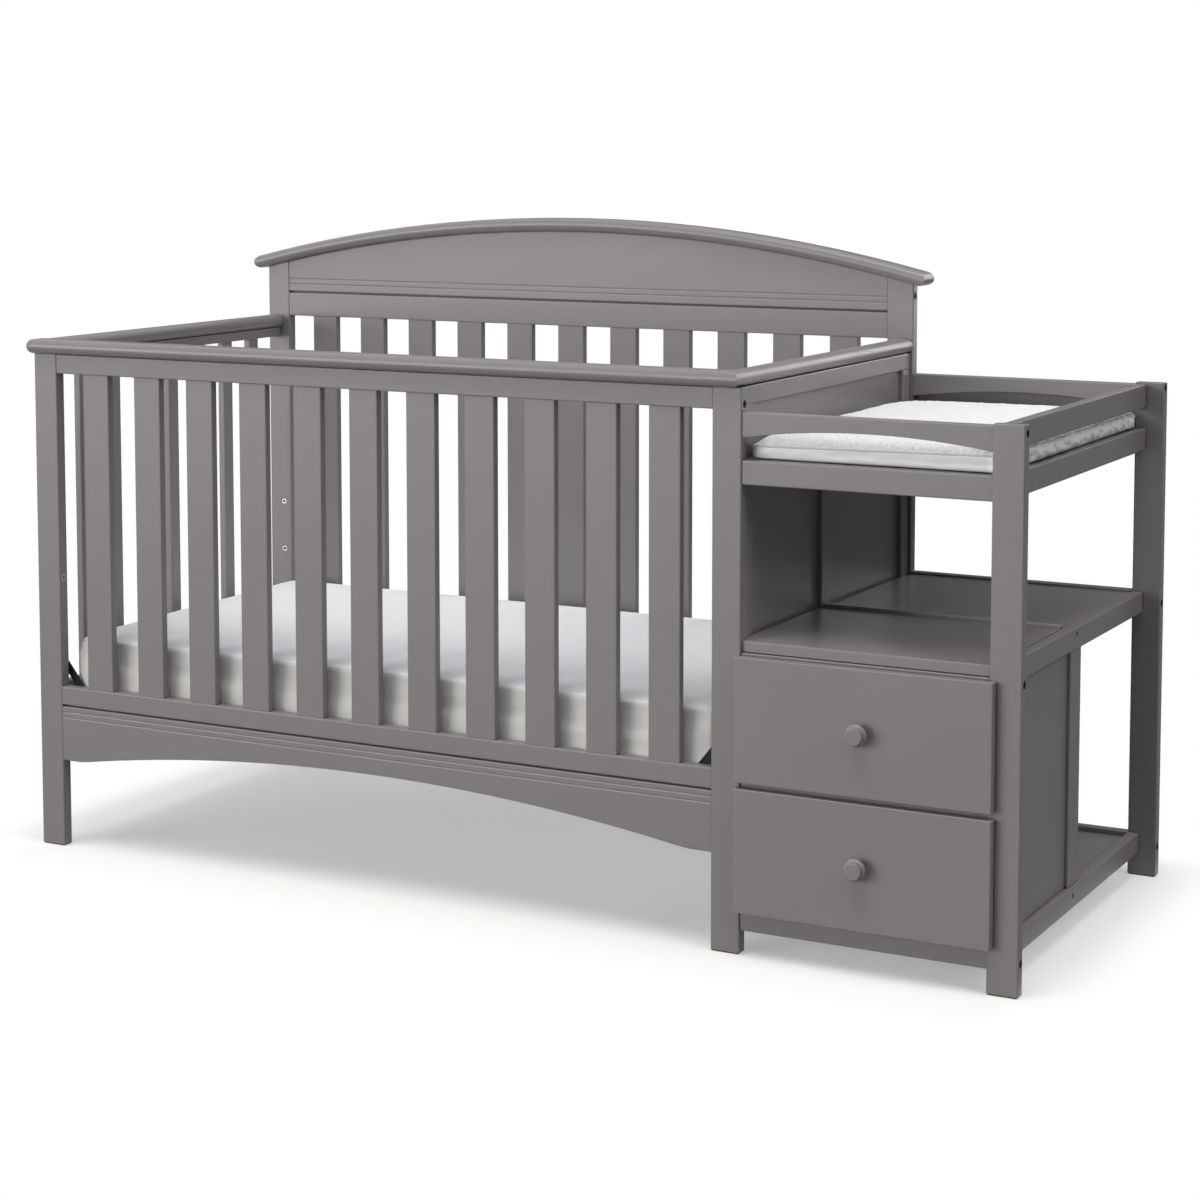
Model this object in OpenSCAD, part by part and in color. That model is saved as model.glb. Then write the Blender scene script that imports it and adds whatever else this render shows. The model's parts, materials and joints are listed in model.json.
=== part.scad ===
// Full-size crib with an attached changing table, in millimetres.
// X runs from the crib to the changer, Y from the front to the headboard, and Z up from the floor.
// Sizes and places are counted from the outer front corner of the left front post's foot, and
// centred() then puts the middle of the whole object's box above the origin.

/* [Crib] */
// Length over the crib's end posts
crib_length = 1433; // [1190:1:1720]
// Depth over the crib's posts, front to back
crib_depth = 774; // [640:1:930]
// Height of the caps on the front and the ends
front_height = 947; // [930:1:1000]
// Height of the headboard at its crown
head_height = 1158; // [1150:1:1400]
// Width of every post, seen from the front
post_w = 51; // [42:1:62]
// Thickness of every post, front to back
post_t = 22; // [20:1:27]
// Rounding of the boards' long edges
edge_r = 2; // [1:0.5:3]
// Bevel round the foot of a post
foot_bevel = 3; // [1:0.5:5]

/* [Caps] */
// Thickness of the bullnose caps
cap_t = 26; // [22:1:31]
// Depth of the front cap and of the headboard's cap
cap_d = 54; // [45:1:65]
// Width of the caps on the two ends
end_cap_w = 36; // [30:1:43]
// How far the front cap reaches past the left post
front_cap_reach = 12; // [5:1:20]
// How far the headboard's cap reaches past its posts
head_cap_reach = 26; // [14:1:31]
// Rise of the headboard's crown above its cap's ends
head_rise = 84; // [70:1:110]

/* [Rails and panels of the crib] */
// Thickness of the crib's rails
rail_t = 20; // [17:1:20]
// Setback of the rails behind the posts' front faces
rail_setback = 1; // [0:0.5:2]
// Height of the front's top rail
top_rail_h = 36; // [30:1:43]
// Height of the bottom rails above the floor
bottom_rail_z = 268; // [250:1:300]
// Height of a bottom rail's face
bottom_rail_h = 34; // [28:1:41]
// Height of the apron's face
apron_h = 102; // [90:1:122]
// Groove between the bottom rail and the apron
apron_gap = 3; // [1:0.5:5]
// Thickness of the tongues that close these two grooves
tongue_t = 6; // [4:1:8]
// Rise of the arch under the apron
arch_rise = 51.5; // [30:0.5:62]
// Straight stretch of the apron's lower edge at each end
arch_flat = 22; // [10:1:60]
// Radius where the straight stretch turns into the arch
arch_blend = 250; // [120:5:300]
// Height of the headboard's rail above the floor
head_rail_z = 946; // [930:1:960]
// Height of the headboard rail's face
head_rail_h = 48; // [40:1:50]
// Groove between the headboard's rail and its panel
head_gap = 3; // [1:0.5:4]
// Radius of the reed grooves in the apron and the headboard
groove_r = 1.6; // [1:0.1:2]
// Distance between two reed grooves
groove_pitch = 10.6; // [8:0.1:14]

/* [Slats] */
// Slats in the front, and as many in the headboard
slat_count = 11; // [9:1:13]
// Width of a front or headboard slat
slat_w = 57.5; // [48:0.5:69]
// Thickness of all slats
slat_t = 15; // [10:0.5:15.5]
// Setback of the front's slats behind its posts' faces
slat_setback = 4; // [3:0.5:4.5]
// Setback of the headboard's slats behind its posts' faces
head_slat_setback = 2.5; // [2:0.5:4.5]
// Length of the tenon on each end of a slat
tenon = 10; // [6:1:12]
// Slats in the left end
end_slat_count = 7; // [5:1:7]
// Width of a slat in the left end
end_slat_w = 30; // [25:1:36]
// Distance from one slat of the left end to the next
end_slat_pitch = 91; // [76:1:92]

/* [Ends] */
// Thickness of the ends' rails and stiles
end_rail_t = 20; // [17:1:22]
// Height of the left end's top rail
left_rail_h = 19; // [19:1:30]
// Inset of the left end's rails from the posts' outer faces
left_inset = 8; // [5:1:12]
// Height of the right end's top rail
right_rail_h = 30; // [25:1:36]
// Inset of the right end's rails from the posts' outer faces
right_inset = 5; // [3:1:8]
// Width of the right end's front and back stiles
stile_w = 35; // [29:1:42]
// Width of the right end's middle stile
mid_stile_w = 30; // [25:1:36]
// Thickness of the right end's panels
end_panel_t = 9; // [7:1:11]
// How deep the right end's panels lie behind its rails
end_panel_recess = 8; // [3:1:9]

/* [Mattress and support] */
// Gap between the mattress and the posts at each end of the crib
mattress_end_gap = 10; // [8:0.5:14]
// Gap between the mattress and the posts at the front and the back
mattress_side_gap = 9.5; // [8:0.5:14]
// Mattress height at its crown
mattress_h = 129; // [100:1:155]
// Rise of the mattress's crown above its edges
mattress_crown = 5; // [2:0.5:10]
// How far the middle of a mattress side is drawn in
mattress_draw = 4; // [2:0.5:8]
// Height of the lowest bolt of the support
hanger_z = 354; // [320:1:380]
// Distance from one bolt height to the next
height_step = 100; // [60:1:100]
// Distance of the support's bolts from a post's outer face
hanger_x = 33; // [32:1:36]
// Thickness of a hanger's plate
hanger_t = 3; // [2:0.5:4]
// Width of a hanger's leg
hanger_w = 14; // [12:1:17]
// Height of the support frame's angle steel
angle_h = 17; // [14:1:21]
// Width of the support frame's angle steel
angle_w = 22; // [18:1:27]
// Thickness of the support frame's angle steel
angle_t = 3; // [2:0.5:4]
// Wire diameter of the support's mesh
wire_d = 4; // [3:0.5:5]
// Wires of the mesh that run along the crib
long_wires = 6; // [4:1:8]
// Wires of the mesh that run across the crib
cross_wires = 13; // [9:1:17]

/* [Changer] */
// Clear width between the crib's right posts and the changer's outer posts
changer_width = 418; // [348:1:502]
// Height of the changer's outer posts
changer_height = 885.5; // [870:0.5:900]
// Thickness of the changer's rails and guards
bar_t = 19; // [16:1:20]
// Height of a guard's face
guard_h = 40.5; // [36:0.5:48]
// Rise of the arch under the front and back guards
guard_rise = 16; // [8:0.5:20]
// Drop from the posts' tops to the guards' tops
guard_drop = 3; // [1:0.5:5]
// Height of the deck above the floor
deck_z = 805; // [790:1:820]
// Height of a deck rail's face
deck_rail_h = 39; // [33:1:47]
// Thickness of the deck and of the shelves
board_t = 16; // [13:1:19]
// Height of the shelf above the floor
shelf_z = 514; // [430:1:600]
// Thickness of the shelf's front board
shelf_front_t = 19; // [17:1:22]
// Drop from the shelf's front board to its back board
shelf_step = 3.5; // [2:0.5:6]
// Height of the lip between the shelf's two boards
shelf_lip = 6; // [3:0.5:8]
// Depth of the shelf's front board behind the posts' front faces
shelf_front_d = 345; // [290:1:410]
// Height of the side and back shelf rails' faces
shelf_rail_h = 37; // [34:1:44]
// Height of the base rails' lower edges above the floor
base_z = 40; // [33:1:48]
// Height of the side and back base rails' faces
base_rail_h = 37; // [34:1:44]
// Height of the front base rail's face
base_front_h = 30; // [26:1:32]
// Drop from the base rails' tops to the base shelf
base_drop = 8; // [4:1:10]
// Thickness of the case's back, whose top edge is the shelf's lip
case_back_t = 12; // [10:1:16]
// Width of the case's stile behind the drawers
case_stile_w = 54.5; // [46:0.5:66]
// Thickness of the case's stile
case_stile_t = 15; // [13:1:16]
// Thickness of the case's side panel
case_panel_t = 9; // [7:1:11]

/* [Changing pad] */
// Gap round the changing pad
pad_gap = 3; // [2:0.5:6]
// Height of the changing pad at its edges
pad_edge_h = 31; // [26:1:37]
// Rise of the changing pad's crown above its edges
pad_crown = 19; // [10:1:23]
// How far the middle of a pad side is drawn in
pad_draw = 3; // [1:0.5:6]

/* [Drawers] */
// Gap between the two drawer fronts
drawer_gap = 11; // [8:1:13]
// Thickness of a drawer front
drawer_front_t = 16.5; // [14:0.5:19.5]
// How far a drawer front covers the crib's right post
overlay_left = 4; // [2:1:8]
// How far a drawer front covers the changer's outer post
overlay_right = 11; // [4:1:14]
// Height of a drawer front's lower edge below its box, and of its upper edge above the box
box_foot = 14; // [10:1:18]
box_head = 33.5; // [28:0.5:40]
// Thickness of a drawer box's sides
drawer_side_t = 12; // [10:1:14]
// Thickness of a drawer's bottom
drawer_bottom_t = 4; // [3:1:5]
// Space behind a drawer box
drawer_back_gap = 30; // [10:1:40]
// Space for a runner on each side of a drawer box
runner_space = 13; // [12:0.5:15]
// Diameter of a drawer's knob
knob_d = 36.5; // [30:0.5:44]
// How far a knob stands out from its drawer
knob_h = 27; // [22:0.5:32]

/* [Fasteners] */
// Diameter of the frame bolts' shanks
bolt_d = 6; // [5:0.5:7]
// Diameter of the frame bolts' heads
bolt_head_d = 13; // [11:0.5:14]
// Diameter of a threaded insert
insert_d = 10; // [9:0.5:11]
// Length of a threaded insert
insert_l = 18; // [14:1:18]
// Diameter of a dowel
dowel_d = 8; // [6:0.5:8]
// Length of a dowel
dowel_l = 36; // [30:1:40]

/* [Hidden] */

// Colours
GREY = "#86827e";
BLACK = "#1c1c1e";
STEEL = "#8d9094";
TICKING = "#dcdad4";
TERRY = "#efeeec";
PLY = "#c9b391";
BEECH = "#d8b98a";

// Roundness of small edges and bores, and of the long arcs
SMALL = 24;
LARGE = 720;

// Clearances: round fasteners in their holes, tenons in their mortises, pieces that slide, and
// curved pieces that meet
fit_gap = 0.1;
tenon_gap = 0.2;
slide_gap = 0.3;
arc_gap = 0.1;
overshoot = 1;

// Crib
crib_mid = crib_length / 2;
right_post_x = crib_length - post_w;
back_post_y = crib_depth - post_t;
inner_l = crib_length - 2 * post_w;
inner_d = crib_depth - 2 * post_t;
cap_z = front_height - cap_t;
cap_reach = (cap_d - post_t) / 2;
nose_r = cap_t / 2;
front_nose_y = post_t + cap_reach - nose_r;
bottom_rail_top = bottom_rail_z + bottom_rail_h;
top_rail_z = cap_z - top_rail_h;
head_panel_z = head_rail_z + head_rail_h + head_gap;
head_radius = (pow(crib_mid, 2) + pow(head_rise, 2)) / (2 * head_rise);
head_arc_z = head_height - head_radius;
head_rail_y = back_post_y + rail_setback;
head_slat_y = back_post_y + head_slat_setback;
head_half_angle = asin((crib_mid + head_cap_reach - nose_r) / (head_radius - nose_r));
apron_z = bottom_rail_z - apron_gap - apron_h;

// Slats
slat_space = (inner_l - slat_count * slat_w) / (slat_count + 1);
end_slat_first = post_t + (inner_d - (end_slat_count - 1) * end_slat_pitch - end_slat_w) / 2;

// Ends
left_rail_x = left_inset;
left_slat_x = left_inset + (end_rail_t - slat_t) / 2;
right_rail_x = crib_length - right_inset - end_rail_t;
right_face_x = crib_length - right_inset;
mid_stile_y = shelf_front_d;

// Changer
outer_post_x = crib_length + changer_width;
outer_rail_x = outer_post_x;
front_bar_y = post_t - bar_t;
back_bar_y = back_post_y;
back_panel_t = post_t - bar_t;
guard_z = changer_height - guard_drop - guard_h;
guard_arc_r = (pow(changer_width / 2, 2) + pow(guard_rise, 2)) / (2 * guard_rise);
deck_rail_z = deck_z - deck_rail_h;
shelf_front_edge = 6.5;
shelf_back_z = shelf_z - shelf_step;
shelf_rail_z = shelf_z - 1 - shelf_rail_h;
back_shelf_rail_z = shelf_z + 1 - shelf_rail_h;
case_rail_z = shelf_rail_z;
case_back_y = shelf_front_d;
case_side_d = case_back_t + case_back_y - post_t;
shelf_back_y = case_back_y + case_back_t;
base_top = base_z + base_rail_h;
base_shelf_z = base_top - base_drop;
base_back_gap = 7;

// Drawers
drawers_bottom = base_z + base_front_h + 5;
drawers_top = shelf_z - 23;
drawer_front_h = (drawers_top - drawers_bottom - drawer_gap) / 2;
drawer_lift = drawer_front_h + drawer_gap;
drawer_front_gap = 0.5;
drawer_x0 = crib_length + runner_space;
drawer_x1 = outer_post_x - runner_space;
drawer_box_z = drawers_bottom + box_foot;
drawer_box_h = drawer_front_h - box_foot - box_head;
drawer_d = case_back_y - drawer_back_gap;
drawer_bottom_lift = 8;
divider_lap = 5;
runner_z = drawer_box_z + drawer_box_h / 2;
runner_h = 42;
runner_wall = 1.5;
runner_l = drawer_d - 6;
runner_depth = 10;

// Mattress support
angle_x0 = post_w + 8;
angle_y0 = post_t + slide_gap + hanger_t;
angle_l = crib_length - 2 * angle_x0;
angle_d = crib_depth - 2 * angle_y0;
support_top = hanger_z - 92;
support_z = support_top - angle_h;
mattress_z = support_top + wire_d + slide_gap;
mattress_l = inner_l - 2 * mattress_end_gap;
mattress_w = inner_d - 2 * mattress_side_gap;
mattress_edge_h = mattress_h - mattress_crown;
hanger_foot_x = hanger_x + 47;
hanger_knee_z = hanger_z - 58;
bolt_heights = [hanger_z, hanger_z + height_step, hanger_z + 2 * height_step];
spare_insert_z = 505;

// Bolts that lie along X: [y, z] of each, by the rails that they hold
front_bolts = [[rail_setback + 12, cap_z - 27], [rail_setback + 12, bottom_rail_z + 10]];
head_bolts = [[back_post_y + 9, head_panel_z + 28], [back_post_y + 9, bottom_rail_z + 10]];
changer_front_bolts = [
    [front_bar_y + 10, guard_z + guard_h - 11], [front_bar_y + 10, case_rail_z + 11],
    [front_bar_y + 10, base_z + 12],
];
changer_back_bolts = [
    [back_post_y + 10, guard_z + guard_h - 6], [back_post_y + 10, back_shelf_rail_z + 16],
    [back_post_y + 10, base_z + 14],
];
head_sink = 4;
bolt_grip = post_w + 14;

// Dowels that lie along Y: [x, z] of each
left_dowels = [[left_rail_x + end_rail_t / 2, cap_z - left_rail_h / 2],
    [left_rail_x + end_rail_t / 2, bottom_rail_top - 8]];
right_dowels = [[right_rail_x + end_rail_t / 2, cap_z - right_rail_h / 2],
    [right_rail_x + end_rail_t / 2, base_top - 9]];
outer_dowels = [
    [outer_rail_x + bar_t / 2, guard_z + 12], [outer_rail_x + bar_t / 2, deck_z - 9],
    [outer_rail_x + bar_t / 2, shelf_rail_z + shelf_rail_h - 9],
    [outer_rail_x + bar_t / 2, base_top - 9],
];
// Dowels that lie along X: [y, z] of each
front_deck_dowel = [front_bar_y + 10, deck_rail_z + 11];
back_deck_dowel = [back_post_y + 9, deck_rail_z + 11];
apron_dowel = [rail_setback + 10, apron_z + 66];
head_rail_dowel = [back_post_y + 11, head_rail_z + 24];

// Screws through the outer rails into the shelves: [z, x of the tip]
screw_y = shelf_back_y + 17;
screw_zs = [shelf_back_z - board_t / 2, base_shelf_z - board_t / 2];
screw_d = 4.5;
screw_head_d = 9;
screw_l = 38;

// Middle of the whole object's box
mid_x = (outer_post_x + post_w - head_cap_reach) / 2;
mid_y = (crib_depth + cap_reach - drawer_front_t - drawer_front_gap - knob_h) / 2;

module centred() {
    translate([-mid_x, -mid_y, 0]) children();
}

// ---- Shapes that repeat ----

// Rectangle with rounded corners, from its lower left corner
module rounded_rect(w, h, r) {
    translate([r, 0]) square([w - 2 * r, h]);
    translate([0, r]) square([w, h - 2 * r]);
    for (x = [r, w - r], y = [r, h - r]) translate([x, y]) circle(r, $fn = SMALL);
}

// Boards with rounded long edges, from their lowest corner; size is given in X, Y and Z
module board_x(place, size, r = edge_r) {
    translate(place) rotate([90, 0, 90]) linear_extrude(size[0]) rounded_rect(size[1], size[2], r);
}

module board_y(place, size, r = edge_r) {
    translate(place + [0, size[1], 0]) rotate([90, 0, 0])
        linear_extrude(size[1]) rounded_rect(size[0], size[2], r);
}

module board_z(place, size, r = edge_r) {
    translate(place) linear_extrude(size[2]) rounded_rect(size[0], size[1], r);
}

module panel(place, size) {
    translate(place) cube(size);
}

// Round bars between a start and a length
module rod_x(x, y, z, l, d) {
    translate([x, y, z]) rotate([0, 90, 0]) cylinder(h = l, d = d, $fn = SMALL);
}

module rod_y(x, y, z, l, d) {
    translate([x, y, z]) rotate([-90, 0, 0]) cylinder(h = l, d = d, $fn = SMALL);
}

// Section of a cap with a full bullnose on both edges, lying along X
module nose_section(w, t) {
    translate([t / 2, 0]) square([w - t, t]);
    for (x = [t / 2, w - t / 2]) translate([x, t / 2]) circle(d = t, $fn = 2 * SMALL);
}

// Rounded end of a bullnose cap: a half round bar with half balls on its ends, along Y
module nose_end(w, t) {
    rotate([-90, 0, 0]) rotate_extrude(angle = 180, $fn = 2 * SMALL) intersection() {
        rotate(90) translate([0, -t / 2]) nose_section(w, t);
        square([t, w]);
    }
}

// Straight cap along X from x to x + l, with its section from y and z
module nose_bar_x(x, y, z, l, w, t) {
    translate([x, y, z]) rotate([90, 0, 90]) linear_extrude(l) nose_section(w, t);
}

module nose_bar_y(x, y, z, l, w, t) {
    translate([x, y + l, z]) rotate([90, 0, 0]) linear_extrude(l) nose_section(w, t);
}

// The round body under the headboard's cap, that its posts and its panel end at
module under_head_cap() {
    translate([crib_mid, crib_depth + overshoot, head_arc_z]) rotate([90, 0, 0])
        cylinder(h = post_t + 2 * overshoot, r = head_radius - cap_t - arc_gap, $fn = LARGE);
}

// Bevel cutters round the foot of a post that stands from its corner at place
module foot_cuts(place) {
    b = foot_bevel * sqrt(2);
    translate(place + [post_w / 2, post_t / 2, 0])
        for (side = [[post_w / 2, 0], [post_t / 2, 90]], flip = [0, 180])
            rotate([0, 0, side[1] + flip]) translate([side[0], 0, 0]) rotate([0, 45, 0])
                cube([b, 2 * post_w, b], center = true);
}

// ---- Fasteners ----

// Frame bolt: its head is sunk in the face at x, and it points along dir (1 or -1)
module frame_bolt(x, dir, at) {
    translate([x, at[0], at[1]]) rotate([0, 90 * dir, 0]) difference() {
        union() {
            translate([0, 0, 0.5]) cylinder(h = head_sink - 0.5, d = bolt_head_d, $fn = SMALL);
            cylinder(h = bolt_grip, d = bolt_d, $fn = SMALL);
        }
        translate([0, 0, -overshoot]) cylinder(h = overshoot + 3, d = 5, $fn = 6);
    }
}

module bolt_hole(x, dir, at) {
    translate([x, at[0], at[1]]) rotate([0, 90 * dir, 0]) {
        translate([0, 0, -overshoot])
            cylinder(h = head_sink + overshoot, d = bolt_head_d + 1, $fn = SMALL);
        cylinder(h = post_w + overshoot, d = bolt_d + 4 * fit_gap, $fn = SMALL);
    }
}

// Sleeve with an inner thread's core hole, or its seat; the mouth is at place, and it goes in along turn
module insert_sleeve(place, turn) {
    translate(place) rotate(turn) difference() {
        cylinder(h = insert_l, d = insert_d, $fn = SMALL);
        translate([0, 0, -overshoot])
            cylinder(h = insert_l + 2 * overshoot, d = bolt_d + 2 * fit_gap, $fn = SMALL);
    }
}

module insert_seat(place, turn) {
    translate(place) rotate(turn) translate([0, 0, -overshoot])
        cylinder(h = insert_l + overshoot + fit_gap, d = insert_d + 2 * fit_gap, $fn = SMALL);
}

module rail_end_seats(x0, x1, bolts) {
    for (at = bolts) {
        insert_seat([x0, at[0], at[1]], [0, 90, 0]);
        insert_seat([x1, at[0], at[1]], [0, -90, 0]);
    }
}

// A dowel stands by a third of its length in the post; dir points from the post to the rail
function dowel_start(joint, dir) = joint - (dir > 0 ? 1 : 2) * dowel_l / 3;

module dowel_x(joint, dir, at) {
    rod_x(dowel_start(joint, dir), at[0], at[1], dowel_l, dowel_d);
}

module dowel_y(joint, dir, at) {
    rod_y(at[0], dowel_start(joint, dir), at[1], dowel_l, dowel_d);
}

module dowel_hole_x(joint, dir, at) {
    rod_x(dowel_start(joint, dir) - fit_gap, at[0], at[1], dowel_l + 2 * fit_gap, dowel_d + 2 * fit_gap);
}

module dowel_hole_y(joint, dir, at) {
    rod_y(at[0], dowel_start(joint, dir) - fit_gap, at[1], dowel_l + 2 * fit_gap, dowel_d + 2 * fit_gap);
}

// Seats of the support's bolts in a post, in the face at y that is turned to the crib's inside
module hanger_seats(x, y, turn) {
    for (z = bolt_heights) insert_seat([x, y, z], turn);
}

// ---- Posts ----

module post(x, y, h) {
    difference() {
        board_z([x, y, 0], [post_w, post_t, h]);
        foot_cuts([x, y, 0]);
    }
}

module front_left_post() {
    color(GREY) difference() {
        post(0, 0, cap_z);
        for (at = front_bolts) bolt_hole(0, 1, at);
        for (at = left_dowels) dowel_hole_y(post_t, 1, at);
        dowel_hole_x(post_w, 1, apron_dowel);
        hanger_seats(hanger_x, post_t, [90, 0, 0]);
        insert_seat([post_w, post_t / 2, spare_insert_z], [0, -90, 0]);
    }
}

module front_right_post() {
    color(GREY) difference() {
        post(right_post_x, 0, cap_z);
        for (at = front_bolts) bolt_hole(crib_length, -1, at);
        for (at = changer_front_bolts) bolt_hole(right_post_x, 1, at);
        for (at = right_dowels) dowel_hole_y(post_t, 1, at);
        dowel_hole_x(right_post_x, -1, apron_dowel);
        dowel_hole_x(crib_length, 1, front_deck_dowel);
        hanger_seats(crib_length - hanger_x, post_t, [90, 0, 0]);
        insert_seat([right_post_x, post_t / 2, spare_insert_z], [0, 90, 0]);
    }
}

module headboard_left_post() {
    color(GREY) difference() {
        intersection() {
            post(0, back_post_y, head_height);
            under_head_cap();
        }
        for (at = head_bolts) bolt_hole(0, 1, at);
        for (at = left_dowels) dowel_hole_y(back_post_y, -1, at);
        dowel_hole_x(post_w, 1, head_rail_dowel);
        hanger_seats(hanger_x, back_post_y, [-90, 0, 0]);
    }
}

module headboard_right_post() {
    color(GREY) difference() {
        intersection() {
            post(right_post_x, back_post_y, head_height);
            under_head_cap();
        }
        for (at = head_bolts) bolt_hole(crib_length, -1, at);
        for (at = changer_back_bolts) bolt_hole(right_post_x, 1, at);
        for (at = right_dowels) dowel_hole_y(back_post_y, -1, at);
        dowel_hole_x(right_post_x, -1, head_rail_dowel);
        dowel_hole_x(crib_length, 1, back_deck_dowel);
        hanger_seats(crib_length - hanger_x, back_post_y, [-90, 0, 0]);
    }
}

module changer_front_post() {
    color(GREY) difference() {
        post(outer_post_x, 0, changer_height);
        for (at = changer_front_bolts) bolt_hole(outer_post_x + post_w, -1, at);
        for (at = outer_dowels) dowel_hole_y(post_t, 1, at);
        dowel_hole_x(outer_post_x, -1, front_deck_dowel);
    }
}

module changer_back_post() {
    color(GREY) difference() {
        post(outer_post_x, back_post_y, changer_height);
        for (at = changer_back_bolts) bolt_hole(outer_post_x + post_w, -1, at);
        for (at = outer_dowels) dowel_hole_y(back_post_y, -1, at);
        dowel_hole_x(outer_post_x, -1, back_deck_dowel);
    }
}

// ---- Front of the crib ----

// The cap's left end is round in plan, and its right end turns the corner with a crease
module front_cap() {
    y = -cap_reach;
    x0 = nose_r - front_cap_reach;
    x1 = crib_length - nose_r;
    color(GREY) {
        translate([x0, y, cap_z + nose_r]) rotate([0, 90, 0]) nose_end(cap_d, cap_t);
        nose_bar_x(x0, y, cap_z, x1 - x0, cap_d, cap_t);
        intersection() {
            nose_bar_x(x1, y, cap_z, nose_r, cap_d, cap_t);
            rod_y(x1, y - overshoot, cap_z + nose_r, cap_d + 2 * overshoot, cap_t);
        }
    }
}

// Mortises for a row of slats whose front faces are at y, in a rail whose edge is at z
module row_mortises(y, z) {
    for (i = [0 : slat_count - 1]) panel(
        [slat_x(i) - tenon_gap, y - tenon_gap, z - tenon - tenon_gap],
        [slat_w + 2 * tenon_gap, slat_t + 2 * tenon_gap, 2 * (tenon + tenon_gap)]);
}

function slat_x(i) = post_w + slat_space + i * (slat_w + slat_space);

module front_top_rail() {
    color(GREY) difference() {
        board_x([post_w, rail_setback, top_rail_z], [inner_l, rail_t, top_rail_h]);
        row_mortises(slat_setback, top_rail_z);
        rail_end_seats(post_w, right_post_x, [front_bolts[0]]);
    }
}

module slat_row(y, z0, z1) {
    for (i = [0 : slat_count - 1])
        board_z([slat_x(i), y, z0 - tenon], [slat_w, slat_t, z1 - z0 + 2 * tenon]);
}

module front_slats() {
    color(GREY) slat_row(slat_setback, bottom_rail_top, top_rail_z);
}

module front_bottom_rail() {
    color(GREY) difference() {
        board_x([post_w, rail_setback, bottom_rail_z], [inner_l, rail_t, bottom_rail_h]);
        row_mortises(slat_setback, bottom_rail_top);
        rail_end_seats(post_w, right_post_x, [front_bolts[1]]);
    }
}

// The arch's lower edge: flat at the ends, then round by arch_blend, then one long arc
arch_reach = inner_l / 2 - arch_flat;
arch_r = (pow(arch_reach, 2) + pow(arch_rise, 2)) / (2 * arch_rise) - arch_blend;
arch_turn = asin(arch_reach / (arch_r + arch_blend));
ARC_STEPS = 24;
function blend_point(a) = [arch_reach - arch_blend * sin(a), arch_blend * (1 - cos(a))];
function crown_point(a) = [arch_r * sin(a), arch_rise - arch_r * (1 - cos(a))];
function half_arch() = concat(
    [for (i = [0 : ARC_STEPS]) blend_point(arch_turn * i / ARC_STEPS)],
    [for (i = [1 : ARC_STEPS]) crown_point(arch_turn * (1 - i / ARC_STEPS))]);
function mirrored(points) = [for (i = [len(points) - 2 : -1 : 0]) [-points[i][0], points[i][1]]];

module reed_grooves(y, zs) {
    for (z = zs) rod_x(post_w - overshoot, y, z, inner_l + 2 * overshoot, 2 * groove_r);
}

// Tongue that stands on a board along the crib and closes the groove above it
module tongue(y, z, h) {
    panel([post_w, y + (rail_t - tongue_t) / 2, z - overshoot], [inner_l, tongue_t, h + overshoot]);
}

module front_apron() {
    arch = half_arch();
    first_groove = apron_z + apron_h - 10;
    color(GREY) difference() {
        union() {
            board_x([post_w, rail_setback, apron_z], [inner_l, rail_t, apron_h]);
            tongue(rail_setback, apron_z + apron_h, apron_gap);
        }
        translate([crib_mid, post_t + overshoot, apron_z]) rotate([90, 0, 0])
            linear_extrude(post_t + 2 * overshoot) polygon(concat(
                [[arch_reach, -overshoot]], arch, mirrored(arch), [[-arch_reach, -overshoot]]));
        reed_grooves(rail_setback - groove_r / 3, [first_groove, first_groove - groove_pitch]);
        dowel_hole_x(post_w, 1, apron_dowel);
        dowel_hole_x(right_post_x, -1, apron_dowel);
    }
}

// ---- Headboard ----

// Bar bent to the crown's radius, cut by a wedge whose two sides end in a round as thick as the cap
module headboard_cap() {
    y = back_post_y - cap_reach;
    a = head_half_angle;
    far = 1.1 * head_radius;
    color(GREY) translate([crib_mid, y, head_arc_z]) intersection() {
        translate([0, cap_d, 0]) rotate([90, 0, 0]) rotate([0, 0, 89 - a])
            rotate_extrude(angle = 2 * (a + 1), $fn = LARGE)
                translate([head_radius - cap_t, 0]) rotate(90) translate([0, -cap_t])
                    nose_section(cap_d, cap_t);
        translate([0, cap_d + overshoot, 0]) rotate([90, 0, 0])
            linear_extrude(cap_d + 2 * overshoot) {
                polygon([[0, 0], [far * sin(a), far * cos(a)], [-far * sin(a), far * cos(a)]]);
                for (side = [1, -1]) rotate(side * a) translate([0, head_radius - nose_r])
                    circle(nose_r, $fn = 2 * SMALL);
            }
    }
}

module headboard_panel() {
    first_groove = head_panel_z + 26;
    color(GREY) difference() {
        intersection() {
            board_x([post_w, head_rail_y, head_panel_z], [inner_l, rail_t, head_height - head_panel_z]);
            under_head_cap();
        }
        reed_grooves(head_rail_y - groove_r / 3, [first_groove, first_groove - groove_pitch]);
        rail_end_seats(post_w, right_post_x, [head_bolts[0]]);
    }
}

module headboard_rail() {
    color(GREY) difference() {
        union() {
            board_x([post_w, head_rail_y, head_rail_z], [inner_l, rail_t, head_rail_h]);
            tongue(head_rail_y, head_rail_z + head_rail_h, head_gap);
        }
        row_mortises(head_slat_y, head_rail_z);
        dowel_hole_x(post_w, 1, head_rail_dowel);
        dowel_hole_x(right_post_x, -1, head_rail_dowel);
    }
}

module headboard_slats() {
    color(GREY) slat_row(head_slat_y, bottom_rail_top, head_rail_z);
}

module headboard_bottom_rail() {
    color(GREY) difference() {
        board_x([post_w, head_rail_y, bottom_rail_z], [inner_l, rail_t, bottom_rail_h]);
        row_mortises(head_slat_y, bottom_rail_top);
        rail_end_seats(post_w, right_post_x, [head_bolts[1]]);
    }
}

// ---- Ends of the crib ----

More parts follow.
